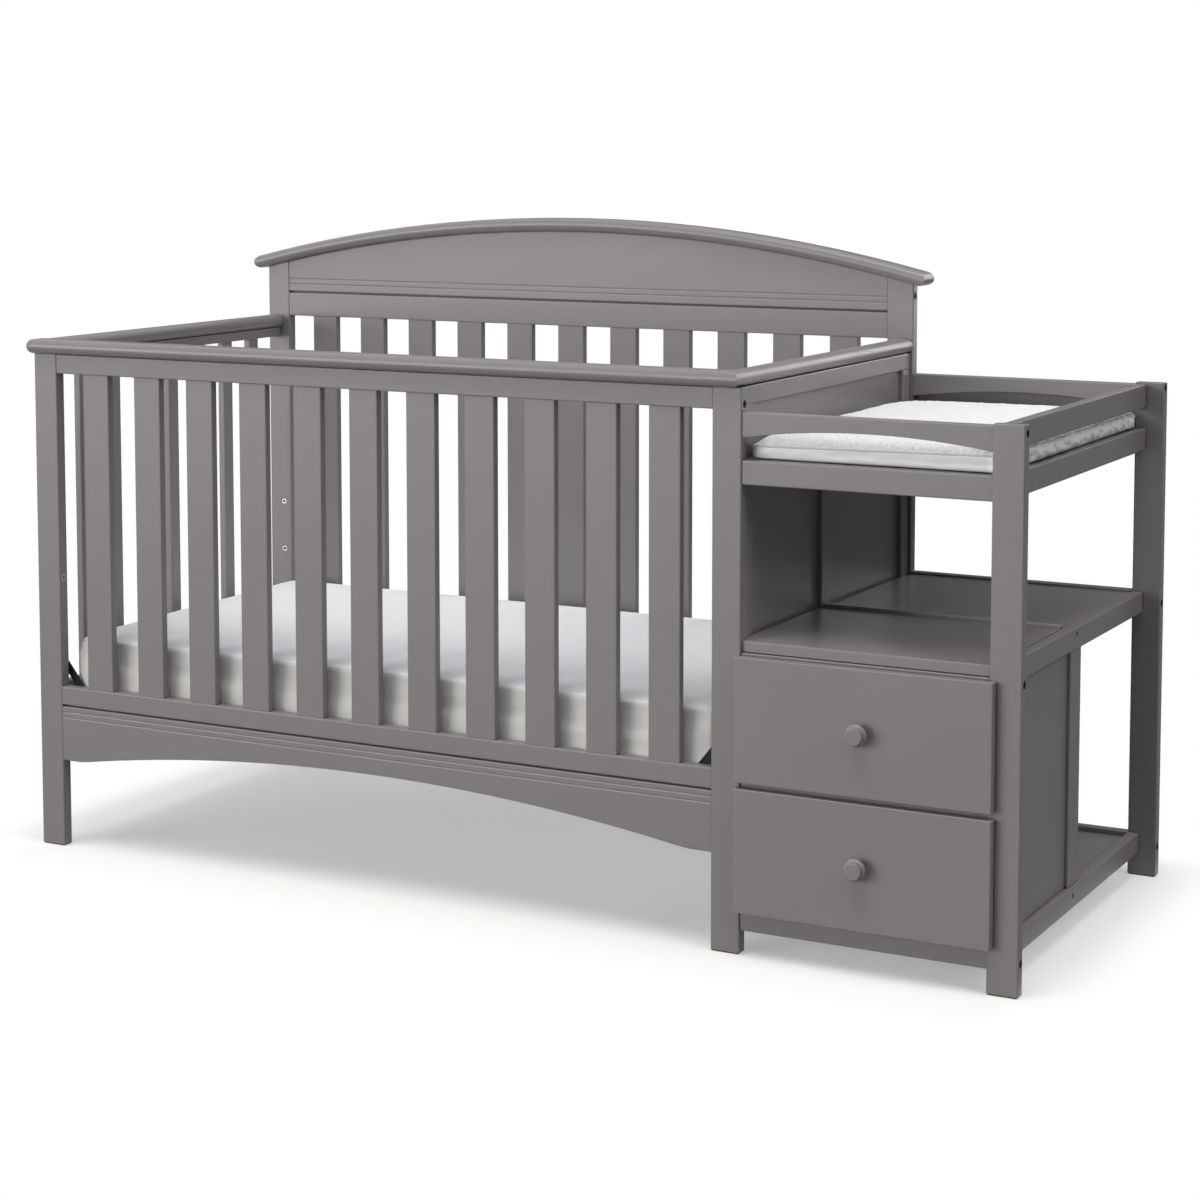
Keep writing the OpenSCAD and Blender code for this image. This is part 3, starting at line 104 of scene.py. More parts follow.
class Wire:
    """An output socket, on which Python's operators add nodes to its tree."""

    WIDE: ClassVar[tuple[str, ...]] = ("VECTOR", "RGBA")

    def __init__(self, tree: "Tree", socket: bpy.types.NodeSocket) -> None:
        """Keeps the socket and the tree that it is in."""
        self.tree = tree
        self.socket = socket

    def _maths(self, operation: str, *values: Any) -> "Wire":
        """Adds a Math node, or a Vector Math node where a value is a colour or a vector.

        Args:
            operation: The node's operation.
            values: Wires, numbers or triples, in the order of its sockets.

        Returns:
            The node's first output.
        """
        wide = any(isinstance(v, tuple) or self._is_wide(v) for v in values)
        if wide:
            values = tuple((v, v, v) if isinstance(v, (int, float)) else v for v in values)
        kind = "ShaderNodeVectorMath" if wide else "ShaderNodeMath"
        node = self.tree.add(kind, dict(enumerate(values)), operation=operation)
        return self.tree.wire(node)

    def _is_wide(self, value: Any) -> bool:
        """Says whether a value is a wire that carries a colour or a vector."""
        return isinstance(value, Wire) and value.socket.type in self.WIDE

    def __add__(self, other: Any) -> "Wire":
        """Adds the other value."""
        return self._maths("ADD", self, other)

    def __radd__(self, other: Any) -> "Wire":
        """Adds this wire to what stands before it."""
        return self._maths("ADD", other, self)

    def __sub__(self, other: Any) -> "Wire":
        """Takes the other value away."""
        return self._maths("SUBTRACT", self, other)

    def __rsub__(self, other: Any) -> "Wire":
        """Takes this wire away from what stands before it."""
        return self._maths("SUBTRACT", other, self)

    def __mul__(self, other: Any) -> "Wire":
        """Multiplies."""
        return self._maths("MULTIPLY", self, other)

    def __rmul__(self, other: Any) -> "Wire":
        """Multiplies what stands before it."""
        return self._maths("MULTIPLY", other, self)

    def from_level(self, level: float, change: float) -> "Wire":
        """Gives a level, and a change of it by this wire."""
        return self * change + level

    def sine(self) -> "Wire":
        """Takes the sine of a value."""
        return self._maths("SINE", self)

    def size(self) -> "Wire":
        """Takes the size of each number, without its sign."""
        return self._maths("ABSOLUTE", self)

    def largest(self, other: Any) -> "Wire":
        """Takes the larger of two values."""
        return self._maths("MAXIMUM", self, other)

    def dot(self, other: "Wire") -> "Wire":
        """Takes the dot product of two vectors."""
        node = self.tree.add("ShaderNodeVectorMath", {0: self, 1: other}, operation="DOT_PRODUCT")
        return self.tree.wire(node, "Value")

    def length(self) -> "Wire":
        """Takes the length of a vector."""
        node = self.tree.add("ShaderNodeVectorMath", {0: self}, operation="LENGTH")
        return self.tree.wire(node, "Value")

    def step(self, low: float, high: float) -> "Wire":
        """Rises smoothly from 0 at low to 1 at high, or falls where high is the lower one.

        Args:
            low: The value at which the result is 0.
            high: The value at which the result is 1.

        Returns:
            The smooth step.
        """
        flip = low > high
        node = self.tree.add(
            "ShaderNodeMapRange",
            {"Value": self, "From Min": min(low, high), "From Max": max(low, high)},
            interpolation_type="SMOOTHSTEP",
        )
        result = self.tree.wire(node)
        return 1 - result if flip else result

    def choose(self, off: Any, on: Any) -> "Wire":
        """Mixes two colours with this wire as the factor.

        Args:
            off: The colour at 0, as a wire or a triple.
            on: The colour at 1.

        Returns:
            The mixed colour.
        """
        pair = {
            name: (*colour, 1.0) if isinstance(colour, tuple) else colour
            for name, colour in (("A_Color", off), ("B_Color", on))
        }
        node = self.tree.add("ShaderNodeMix", {"Factor_Float": self, **pair}, data_type="RGBA")
        return self.tree.wire(node, "Result_Color")


class Tree:
    """A node tree, with one way to add any node to it."""

    EDGE_SAMPLES: ClassVar[int] = 4
    CORNER_SAMPLES: ClassVar[int] = 6
    EDGE_TURN: ClassVar[Pair] = (0.985, 0.86)

    def __init__(self, nodes: bpy.types.NodeTree) -> None:
        """Empties the tree and keeps it."""
        nodes.nodes.clear()
        self.nodes = nodes

    def add(
        self, kind: str, sockets: dict[str | int, Any] | None = None, **settings: Any
    ) -> bpy.types.Node:
        """Adds one node.

        Args:
            kind: The node's type.
            sockets: Values or wires by the input's name, identifier or number.
            settings: Its properties, which are set first.

        Returns:
            The node.
        """
        node = self.nodes.nodes.new(kind)
        for name, value in settings.items():
            setattr(node, name, value)
        for key, value in (sockets or {}).items():
            socket = self._find(node.inputs, key)
            if isinstance(value, Wire):
                self.nodes.links.new(value.socket, socket)
            else:
                socket.default_value = value
        return node

    def wire(self, node: bpy.types.Node, key: str | int = 0) -> Wire:
        """Gives one of a node's outputs as a wire."""
        return Wire(self, self._find(node.outputs, key))

    def _find(self, sockets: Any, key: str | int) -> bpy.types.NodeSocket:
        """Finds a socket by its number, identifier or name."""
        if isinstance(key, int):
            return sockets[key]
        by_id = [s for s in sockets if s.identifier == key]
        return by_id[0] if by_id else sockets[key]

    def finish(self, surface: Wire, kind: str = "ShaderNodeOutputMaterial") -> None:
        """Ends the tree in its output node."""
        self.add(kind, {"Surface": surface})

    def between(self, factor: Wire, first: bpy.types.Node, second: bpy.types.Node) -> Wire:
        """Mixes what two shader nodes give."""
        sockets = {0: factor, 1: self.wire(first), 2: self.wire(second)}
        return self.wire(self.add("ShaderNodeMixShader", sockets))

    def place(self) -> Wire:
        """Gives the point in the object's own coordinates, in metres."""
        return self.wire(self.add("ShaderNodeTexCoord"), "Object")

    def parts(self, vector: Wire) -> tuple[Wire, Wire, Wire]:
        """Splits a vector into its three numbers."""
        node = self.add("ShaderNodeSeparateXYZ", {0: vector})
        return self.wire(node, 0), self.wire(node, 1), self.wire(node, 2)

    def noise(self, point: Wire, scale: float, detail: float = 2.0) -> Wire:
        """Adds noise round 0.5.

        Args:
            point: Where it is read.
            scale: Features per metre.
            detail: Number of finer layers.

        Returns:
            The noise as a value.
        """
        sockets = {"Vector": point, "Scale": scale, "Detail": detail}
        return self.wire(self.add("ShaderNodeTexNoise", sockets), "Fac")

    def cells(self, point: Wire, scale: float) -> Wire:
        """Gives the distance to the nearest scattered point, with scale of them per metre."""
        node = self.add("ShaderNodeTexVoronoi", {"Vector": point, "Scale": scale})
        return self.wire(node, "Distance")

    def bump(self, height: Wire, depth: float, under: Wire | None = None) -> Wire:
        """Adds a Bump node.

        Args:
            height: The relief, from 0 to 1.
            depth: How deep it is, in metres.
            under: A normal that it adds to.

        Returns:
            The normal.
        """
        sockets = {"Height": height, "Distance": depth}
        if under is not None:
            sockets["Normal"] = under
        return self.wire(self.add("ShaderNodeBump", sockets))

    def eased_edge(self, radius: float) -> tuple[Wire, Wire]:
        """Rounds what sharp edges show.

        Args:
            radius: The rounding, in metres.

        Returns:
            The rounded normal, and a mask that is 1 on an edge.
        """
        soft = self.wire(self.add("ShaderNodeBevel", {"Radius": radius}, samples=self.EDGE_SAMPLES))
        flat = self.wire(self.add("ShaderNodeNewGeometry"), "Normal")
        return soft, soft.dot(flat).step(*self.EDGE_TURN)

    def openness(self, reach: float) -> Wire:
        """Gives 1 in the open and 0 deep in a corner, as seen within a reach in metres."""
        sockets = {"Distance": reach}
        node = self.add("ShaderNodeAmbientOcclusion", sockets, samples=self.CORNER_SAMPLES)
        return self.wire(node, "AO")


def stripes(along: Wire, pitch: float) -> Wire:
    """Gives even stripes, from 0 to 1, at a pitch in metres."""
    return (along * (2 * math.pi / pitch)).sine() * 0.5 + 0.5


def new_material(name: str) -> tuple[bpy.types.Material, Tree]:
    """Makes a material and the tree that its finish is built in."""
    material = bpy.data.materials.new(name)
    material.use_nodes = True
    return material, Tree(material.node_tree)


# ---- Finishes ----


class Finish:
    """A finish, of which each kind says what feeds the surface shader."""

    def sockets(self, tree: Tree) -> dict[str, Any]:
        """Gives the shader's sockets that are set or wired, by name."""
        raise NotImplementedError

    def build(self, name: str) -> bpy.types.Material:
        """Makes the material."""
        material, tree = new_material(name)
        surface = tree.add("ShaderNodeBsdfPrincipled", self.sockets(tree))
        tree.finish(tree.wire(surface))
        return material


@dataclass(frozen=True)
class SatinPaint(Finish):
    """Sprayed satin paint on solid wood, with painted highlights on its eased edges and painted
    shade in its corners and joints.

    Args:
        colour: The paint.
        edge: The paint on an eased edge, made paler as a painted highlight.
        corner: The painted shade deep in a corner or joint.
        roughness: How rough its gloss is, and by how much that differs.
        shine: Strength of its gloss.
        ease: Rounding of the edges, in metres.
        cloud: Patches per metre of slightly uneven paint, and by how much they differ.
        reach: How far the painted shade of a corner or joint reaches, in metres.
        shade_range: Openness at which the painted shade is full, and at which it ends.
        peel: Dimples per metre of the orange peel, and their depth.
        sag: Waves per metre of the surface below it, and their depth.
    """

    colour: Colour = (0.224, 0.210, 0.207)
    edge: Colour = (0.50, 0.485, 0.48)
    corner: Colour = (0.012, 0.011, 0.011)
    roughness: Pair = (0.33, 0.12)
    shine: float = 0.42
    ease: float = 0.0020
    cloud: Pair = (7.0, 0.07)
    reach: float = 0.008
    shade_range: Pair = (0.30, 0.72)
    peel: Pair = (420.0, 0.00002)
    sag: Pair = (28.0, 0.00022)

    def sockets(self, tree: Tree) -> dict[str, Any]:
        """Feeds the shader."""
        place = tree.place()
        soft, edge = tree.eased_edge(self.ease)
        scale, uneven = self.cloud
        cloud = tree.noise(place, scale, 3.0) - 0.5
        # Eased edges are painted paler, as a highlight.
        body = edge.choose(self.colour, self.edge) * (cloud * uneven + 1.0)
        # Ambient occlusion darkens corners and joints towards the corner colour, as painted shade.
        unshaded = tree.openness(self.reach).step(*self.shade_range)
        relief = soft
        for scale, depth in (self.peel, self.sag):
            relief = tree.bump(tree.noise(place, scale, 1.0), depth, relief)
        return {
            "Base Color": unshaded.choose(self.corner, body),
            "Roughness": cloud.from_level(*self.roughness),
            "Normal": relief,
            "Specular IOR Level": self.shine,
        }


@dataclass(frozen=True)
class PowderCoat(Finish):
    """Black powder coat on steel, with painted highlights on its edges.

    Args:
        colour: The coat.
        edge: The coat on an edge, made paler as a painted highlight.
        ease: Rounding of the edges, in metres.
        roughness: How rough it is, and by how much that differs.
        grit: Grains per metre, and their depth.
        shine: Strength of its gloss.
    """

    colour: Colour = (0.006, 0.006, 0.0065)
    edge: Colour = (0.02, 0.02, 0.021)
    ease: float = 0.0007
    roughness: Pair = (0.5, 0.3)
    grit: Pair = (1400.0, 0.00003)
    shine: float = 0.2

    def sockets(self, tree: Tree) -> dict[str, Any]:
        """Feeds the shader."""
        place = tree.place()
        soft, edge = tree.eased_edge(self.ease)
        scale, depth = self.grit
        grit = tree.noise(place, scale)
        return {
            # Edges are painted paler, as a highlight.
            "Base Color": edge.choose(self.colour, self.edge),
            "Roughness": (grit - 0.5).from_level(*self.roughness),
            "Normal": tree.bump(grit, depth, soft),
            "Specular IOR Level": self.shine,
        }


@dataclass(frozen=True)
class ZincPlate(Finish):
    """Bright zinc plating with a faint spangle.

    Args:
        colour: The plating.
        dull: The plating where it has dulled.
        spangle: Crystals per metre, and their depth.
        smear: Dull patches per metre.
        dulling: Noise at which a patch begins, and at which it is full.
        roughness: How rough it is at the middle of a crystal, and how much more at its rim.
    """

    colour: Colour = (0.60, 0.61, 0.63)
    dull: Colour = (0.40, 0.41, 0.42)
    spangle: Pair = (260.0, 0.00002)
    smear: float = 60.0
    dulling: Pair = (0.35, 0.7)
    roughness: Pair = (0.28, 0.2)

    def sockets(self, tree: Tree) -> dict[str, Any]:
        """Feeds the shader."""
        place = tree.place()
        scale, depth = self.spangle
        spangle = tree.cells(place, scale)
        dulled = tree.noise(place, self.smear, 3.0).step(*self.dulling)
        return {
            "Base Color": dulled.choose(self.colour, self.dull),
            "Metallic": 1.0,
            "Roughness": spangle.from_level(*self.roughness),
            "Normal": tree.bump(spangle, depth),
        }


@dataclass(frozen=True)
class Ticking(Finish):
    """Plain woven mattress cover, its top painted cool white as light from above and its border
    painted darker and creamier as shade on the sides.

    Args:
        top: The cover's face, painted cool white as light from above.
        border: The strip round the sides, painted darker and creamier as shade.
        edge_z: Height at which the strip begins, in metres.
        thread: Distance between two threads, and how deep the weave is, in metres.
        streak: Long streaks per metre along X and across it, their contrast and their depth.
        slub: Thick threads per metre along X and across it, and their contrast.
        roughness: How rough the cloth is between its threads, and how much more on them.
        sheen: Weight of the cloth's sheen.
    """

    top: Colour = (0.86, 0.87, 0.90)
    border: Colour = (0.77, 0.76, 0.735)
    edge_z: float = 0.3885
    thread: Pair = (0.0016, 0.00012)
    streak: tuple[float, float, float, float] = (9.0, 260.0, 0.13, 0.0004)
    slub: Triple = (60.0, 1400.0, 0.06)
    roughness: Pair = (0.82, 0.08)
    sheen: float = 0.15

    def sockets(self, tree: Tree) -> dict[str, Any]:
        """Feeds the shader."""
        place = tree.place()
        x, y, z = tree.parts(place)
        up = z.step(self.edge_z - MM, self.edge_z + MM)
        pitch, relief = self.thread
        turns = 2 * math.pi / pitch
        weave = (x * turns).sine() * ((y + z) * turns).sine() * 0.5 + 0.5
        long, short, contrast, depth = self.streak
        streak = tree.noise(place * (long, short, short), 1.0)
        tone = (streak - 0.5) * contrast
        long, short, contrast = self.slub
        slub = tree.noise(place * (long, short, short), 1.0, 1.0)
        tone = tone + (slub - 0.5) * contrast + 1.0
        return {
            # The border is painted darker and creamier than the top as shade on the sides, and the
            # top is painted cool as light from above.
            "Base Color": up.choose(self.border, self.top) * tone,
            "Roughness": weave.from_level(*self.roughness),
            "Normal": tree.bump(streak, depth, tree.bump(weave, relief)),
            "Sheen Weight": self.sheen,
        }


@dataclass(frozen=True)
class Terry(Finish):
    """Looped terry cloth above a pad's seam and smooth satin cloth below it.

    Args:
        loops: The terry.
        hollow_shade: The terry down between its loops, painted darker as shade.
        satin: The cloth below the seam, and on the whole right side.
        seam: Height of the seam where X is 0, and its rise for each metre of X.
        right_x: Where the right side begins, in metres.
        pile: Loops per metre, and their depth.
        loop: Where a loop ends and where it is full, as shares of their pitch.
        nap: Share of the loops' colour that the hollows keep, and the rest of it.
        patch: Patches per metre of denser loops, and their contrast.
        thread: Distance between two threads of the satin, and their depth.
        roughness: Of the satin and of the terry.
        sheen: Weight of the cloth's sheen.
    """

    loops: Colour = (0.98, 0.98, 0.985)
    hollow_shade: Colour = (0.86, 0.86, 0.875)
    satin: Colour = (0.92, 0.92, 0.93)
    seam: Pair = (0.81876, 0.01453)
    right_x: float = 0.898
    pile: Pair = (330.0, 0.0008)
    loop: Pair = (0.75, 0.1)
    nap: Pair = (0.45, 0.55)
    patch: Pair = (170.0, 0.22)
    thread: Pair = (0.0009, 0.00004)
    roughness: Pair = (0.30, 0.86)
    sheen: float = 0.2

    def sockets(self, tree: Tree) -> dict[str, Any]:
        """Feeds the shader."""
        place = tree.place()
        x, _, z = tree.parts(place)
        level, slope = self.seam
        above = (z - x * slope).step(level - MM, level + MM)
        above = above * x.step(self.right_x + 3 * MM, self.right_x)
        loops, height = self.pile
        pile = tree.cells(place, loops).step(*self.loop)
        scale, contrast = self.patch
        dense = (tree.noise(place, scale, 3.0) - 0.5) * contrast + 1.0
        # The hollows between the loops are painted darker, as shade.
        nap = pile.from_level(*self.nap).choose(self.hollow_shade, self.loops) * dense
        pitch, relief = self.thread
        smooth, rough = self.roughness
        return {
            "Base Color": above.choose(self.satin, nap),
            "Roughness": above.from_level(smooth, rough - smooth),
            "Normal": tree.bump(pile * above, height, tree.bump(stripes(x, pitch), relief)),
            "Sheen Weight": self.sheen,
        }


@dataclass(frozen=True)
class Thread(Finish):
    """Twisted sewing thread or the cloth of a piping cord.

    Args:
        colour: The thread.
        shade: Its tone between two twists, as a share.
        pitch: Length of one twist, in metres.
        depth: How deep it is.
        roughness: How rough it is.
    """

    colour: Colour = (0.80, 0.80, 0.80)
    shade: float = 0.82
    pitch: float = 0.0012
    depth: float = 0.00008
    roughness: float = 0.75

    def sockets(self, tree: Tree) -> dict[str, Any]:
        """Feeds the shader."""
        x, y, z = tree.parts(tree.place())
        twist = stripes(x + y + z, self.pitch)
        return {
            "Base Color": twist.choose(tuple(self.shade * c for c in self.colour), self.colour),
            "Roughness": self.roughness,
            "Normal": tree.bump(twist, self.depth),
        }


@dataclass(frozen=True)
class BareWood(Finish):
    """Wood with growth rings and pores under a thin lacquer.

    Args:
        pale: The early wood.
        dark: The late wood.
        ring: Distance between two rings, in metres.
        lacquer: Weight of the clear coat.
        grain: Waves of the rings per metre along each axis, and how far they sway.
        tilt: How much the rings climb for each metre of X.
        pore: Pores per metre along each axis, and their depth.
        pore_edge: Noise at which a pore begins, and at which it is full.
        pore_dark: Share by which a pore is darker.
        roughness: How rough the early wood is, and how much more the late wood.
    """

    pale: Colour
    dark: Colour
    ring: float = 0.006
    lacquer: float = 0.0
    grain: tuple[Triple, float] = ((3.0, 1.2, 8.0), 0.05)
    tilt: float = 0.02
    pore: tuple[Triple, float] = ((900.0, 60.0, 900.0), 0.00008)
    pore_edge: Pair = (0.62, 0.72)
    pore_dark: float = 0.3
    roughness: Pair = (0.42, 0.1)

    def sockets(self, tree: Tree) -> dict[str, Any]:
        """Feeds the shader."""
        place = tree.place()
        x, _, z = tree.parts(place)
        waves, sway = self.grain
        swayed = z + tree.noise(place * waves, 1.0) * sway + x * self.tilt
        rings = stripes(swayed, self.ring)
        spread, depth = self.pore
        pores = tree.noise(place * spread, 1.0).step(*self.pore_edge)
        return {
            "Base Color": rings.choose(self.pale, self.dark) * (1.0 - pores * self.pore_dark),
            "Roughness": rings.from_level(*self.roughness),
            "Coat Weight": self.lacquer,
            "Normal": tree.bump(1.0 - pores, depth),
        }


@dataclass
class Wardrobe:
    """Every finish of the object, by the record's slot."""

    def __post_init__(self) -> None:
        """Builds each finish once."""
        finishes = {
            Slot.PAINT: SatinPaint(),
            Slot.BLACK_STEEL: PowderCoat(),
            Slot.ZINC: ZincPlate(),
            Slot.MATTRESS: Ticking(),
            Slot.TERRY: Terry(),
            Slot.DRAWER_WOOD: BareWood((0.66, 0.53, 0.37), (0.54, 0.41, 0.27), lacquer=0.3),
            Slot.BEECH: BareWood((0.68, 0.50, 0.33), (0.60, 0.42, 0.26), ring=0.004),
        }
        self.materials = {slot: finish.build(slot.value) for slot, finish in finishes.items()}
        self.thread = Thread().build("thread")

    def dress_node(self, node: str, slot: Slot) -> None:
        """Gives a CAD node its finish.

        Args:
            node: The node's name.
            slot: The slot that the record gives it.
        """
        piece = frame["nodes"][node]
        for place in piece.material_slots:
            place.material = self.materials[slot]
        LOG.info("dressed %s in %s", node, slot.value)


# ---- Helpers for pieces ----


def place_in_scene(name: str, data: Any) -> Piece:
    """Makes an object of a mesh, lamp or camera, and links it to the scene."""
    thing = bpy.data.objects.new(name, data)
    bpy.context.scene.collection.objects.link(thing)
    return thing


def bake(piece: Piece) -> None:
    """Turns a piece and its modifiers into a plain mesh."""
    shown = piece.evaluated_get(bpy.context.evaluated_depsgraph_get())
    mesh = bpy.data.meshes.new_from_object(shown)
    piece.modifiers.clear()
    piece.data = mesh


def ramp(value: float, start: float, end: float) -> float:
    """Gives 0 up to the start, 1 at the end, and more past it."""
    return max((value - start) / (end - start), 0.0)


# ---- Padded pieces ----


@dataclass(frozen=True)
class Folds:
    """Soft folds in cloth.

    Args:
        scale: Folds per metre along each axis.
        seed: Where their noise begins.
        depth: How deep they are, in millimetres.
    """

    scale: Triple
    seed: float
    depth: float

    def at(self, point: Vector) -> float:
        """Gives their height at a point, in millimetres."""
        x, y, z = (p * s for p, s in zip(point, self.scale))
        return noise.noise(Vector((x + self.seed, y, z))) * self.depth


@dataclass
class Cushion:
    """A padded piece on a rounded rectangle, whose sides pull in between its corners.

    Args:
        node: The CAD node that it stands for.
        body: The body that it rides on.
        slot: Its material slot.
        fill: How tightly it is filled; not used.
        corner_r: Rounding of its corners in plan, in metres.
        swell: How far a point of the cloth may move as it is filled.
        finer: Subdivisions of the filled cloth.
        pull: How far the middle of each side is drawn in.
        voxel: Size of the mesh before the last subdivision.
        air: Clearance that is kept all round inside the CAD solid's box.
    """

    node: str
    body: str
    slot: Slot
    fill: float
    corner_r: float
    swell: float
    finer: int
    pull: float = 0.001
    voxel: float = 0.006
    air: float = -0.001

    SIDE_STEPS: ClassVar[int] = 24
    CORNER_STEPS: ClassVar[int] = 8
    FRAMES: ClassVar[int] = 20
    PRESSURE: ClassVar[float] = 4.0
    STUCK: ClassVar[float] = 2.5 * MM
    FOOT: ClassVar[float] = 0.2 * MM

    def __post_init__(self) -> None:
        """Reads where the CAD solid is."""
        self.low, self.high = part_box(self.node)
        self.middle = (self.low + self.high) / 2
        self.half = (self.high - self.low) / 2

    def section(self) -> list[Pair]:
        """Gives the section from the middle of the bottom to the middle of the top.

        Returns:
            Pairs of the distance inside the outline and the height.
        """
        raise NotImplementedError

    def outline(self, inset: float, z: float) -> list[Vector]:
        """Gives one closed line round the piece.

        Args:
            inset: Distance inside the widest outline.
            z: Height of the line.

        Returns:
            Its points, counter-clockwise from above.
        """
        hx, hy = self.half.x - self.air - inset, self.half.y - self.air - inset
        r = max(self.corner_r - inset, 0.15 * min(hx, hy, self.corner_r))
        corners = ((1, -1, -90), (1, 1, 0), (-1, 1, 90), (-1, -1, 180))

        def spot(number: int, turn: float = 0.0) -> Pair:
            """Gives a point of a corner's curve, by the degrees from where it starts."""
            sx, sy, start = corners[number % 4]
            a = math.radians(start + turn)
            return sx * (hx - r) + r * math.cos(a), sy * (hy - r) + r * math.sin(a)

        points = []
        for number in range(4):
            turns = [90 * step / self.CORNER_STEPS for step in range(self.CORNER_STEPS + 1)]
            points += [spot(number, turn) for turn in turns]
            last, target = points[-1], spot(number + 1)
            points += [
                tuple(p + (q - p) * step / self.SIDE_STEPS for p, q in zip(last, target))
                for step in range(1, self.SIDE_STEPS)
            ]
        return [self._drawn_in(x, y, z) for x, y in points]

    def _drawn_in(self, x: float, y: float, z: float) -> Vector:
        """Pulls a point in, most of all in the middle of a side."""
        u, v = x / self.half.x, y / self.half.y
        px = x - self.pull * u * (1 - v * v)
        py = y - self.pull * v * (1 - u * u)
        return Vector((self.middle.x + px, self.middle.y + py, z))

    def shell(self) -> bpy.types.Mesh:
        """Lofts the section's outlines into one closed mesh."""
        body = bmesh.new()
        rings = [[body.verts.new(p) for p in self.outline(*pair)] for pair in self.section()]
        count = len(rings[0])
        for lower, upper in zip(rings, rings[1:]):
            for i in range(count):
                j = (i + 1) % count
                body.faces.new((lower[i], lower[j], upper[j], upper[i]))
        body.faces.new(list(reversed(rings[0])))
        body.faces.new(rings[-1])
        mesh = bpy.data.meshes.new(self.node + "_shell")
        body.to_mesh(mesh)
        body.free()
        return mesh

    def filled(self) -> Piece:
        """Makes the piece: lofts it, fills it as cloth, creases it and subdivides it.

        Returns:
            The piece, as a plain mesh at the origin.
        """
        piece = place_in_scene(self.node + "_soft", self.shell())
        grid = piece.modifiers.new("voxels", "REMESH")
        grid.mode = "VOXEL"
        grid.voxel_size = self.voxel
        bake(piece)
        self._inflate(piece)
        finer = piece.modifiers.new("finer", "SUBSURF")
        finer.levels = finer.render_levels = self.finer
        bake(piece)
        self._crease(piece.data)
        piece.data.shade_smooth()
        return piece

    def _inflate(self, piece: Piece) -> None:
        """Fills the cloth with air, and keeps each point near where it began.

        Args:
            piece: The remeshed piece, whose mesh is changed.
        """
        scene = bpy.context.scene
        start = [v.co.copy() for v in piece.data.vertices]
        rest = piece.vertex_groups.new(name="rest")
        flat = self.low.z + self.STUCK
        rest.add([v.index for v in piece.data.vertices if v.co.z < flat], 1.0, "REPLACE")
        cloth = piece.modifiers.new("cloth", "CLOTH")
        cloth.settings.use_pressure = True
        cloth.settings.uniform_pressure_force = self.PRESSURE
        cloth.settings.vertex_group_mass = rest.name
        cloth.settings.effector_weights.gravity = 0.0
        cloth.point_cache.frame_start = 1
        cloth.point_cache.frame_end = self.FRAMES
        for number in range(1, self.FRAMES + 1):
            scene.frame_set(number)
        shown = piece.evaluated_get(bpy.context.evaluated_depsgraph_get())
        moved = [v.co.copy() for v in shown.data.vertices]
        piece.modifiers.remove(cloth)
        scene.frame_set(1)
        for vertex, before, after in zip(piece.data.vertices, start, moved):
            shift = after - before
            if shift.length > self.swell:
                shift *= self.swell / shift.length
            vertex.co = before + shift
        piece.vertex_groups.clear()

    def crease(self, point: Vector, normal: Vector) -> float:
        """Gives how far the cloth stands out at a point, in metres.

        Args:
            point: Where it is.
            normal: Which way it faces.

        Returns:
            The shift along the normal.
        """
        raise NotImplementedError

    def keep_clear(self, point: Vector) -> Vector:
        """Moves a point up to what the piece lies on, where it is below that."""
        point.z = max(point.z, self.low.z)
        return point

    def _crease(self, mesh: bpy.types.Mesh) -> None:
        """Moves every point of the cloth by its crease, and keeps it off what it lies on."""
        pairs = [(v.co.copy(), v.normal.copy()) for v in mesh.vertices]
        flat = []
        for point, normal in pairs:
            flat.extend(self.keep_clear(point + normal * self.crease(point, normal)))
        mesh.vertices.foreach_set("co", flat)
        mesh.update()

    def carry(self, piece: Piece, finish: bpy.types.Material) -> None:
        """Dresses a piece and lets it ride on the cushion's body."""
        piece.data.materials.clear()
        piece.data.materials.append(finish)
        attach(piece, self.body)
        LOG.info("%s has %d faces", piece.name, len(piece.data.polygons))

    def build(self, wardrobe: Wardrobe) -> Piece:
        """Makes and dresses the piece, and lets it stand for its CAD solid.

        Args:
            wardrobe: The finishes.

        Returns:
            The piece.
        """
        piece = self.filled()
        self.carry(piece, wardrobe.materials[self.slot])
        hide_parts(self.node)
        return piece


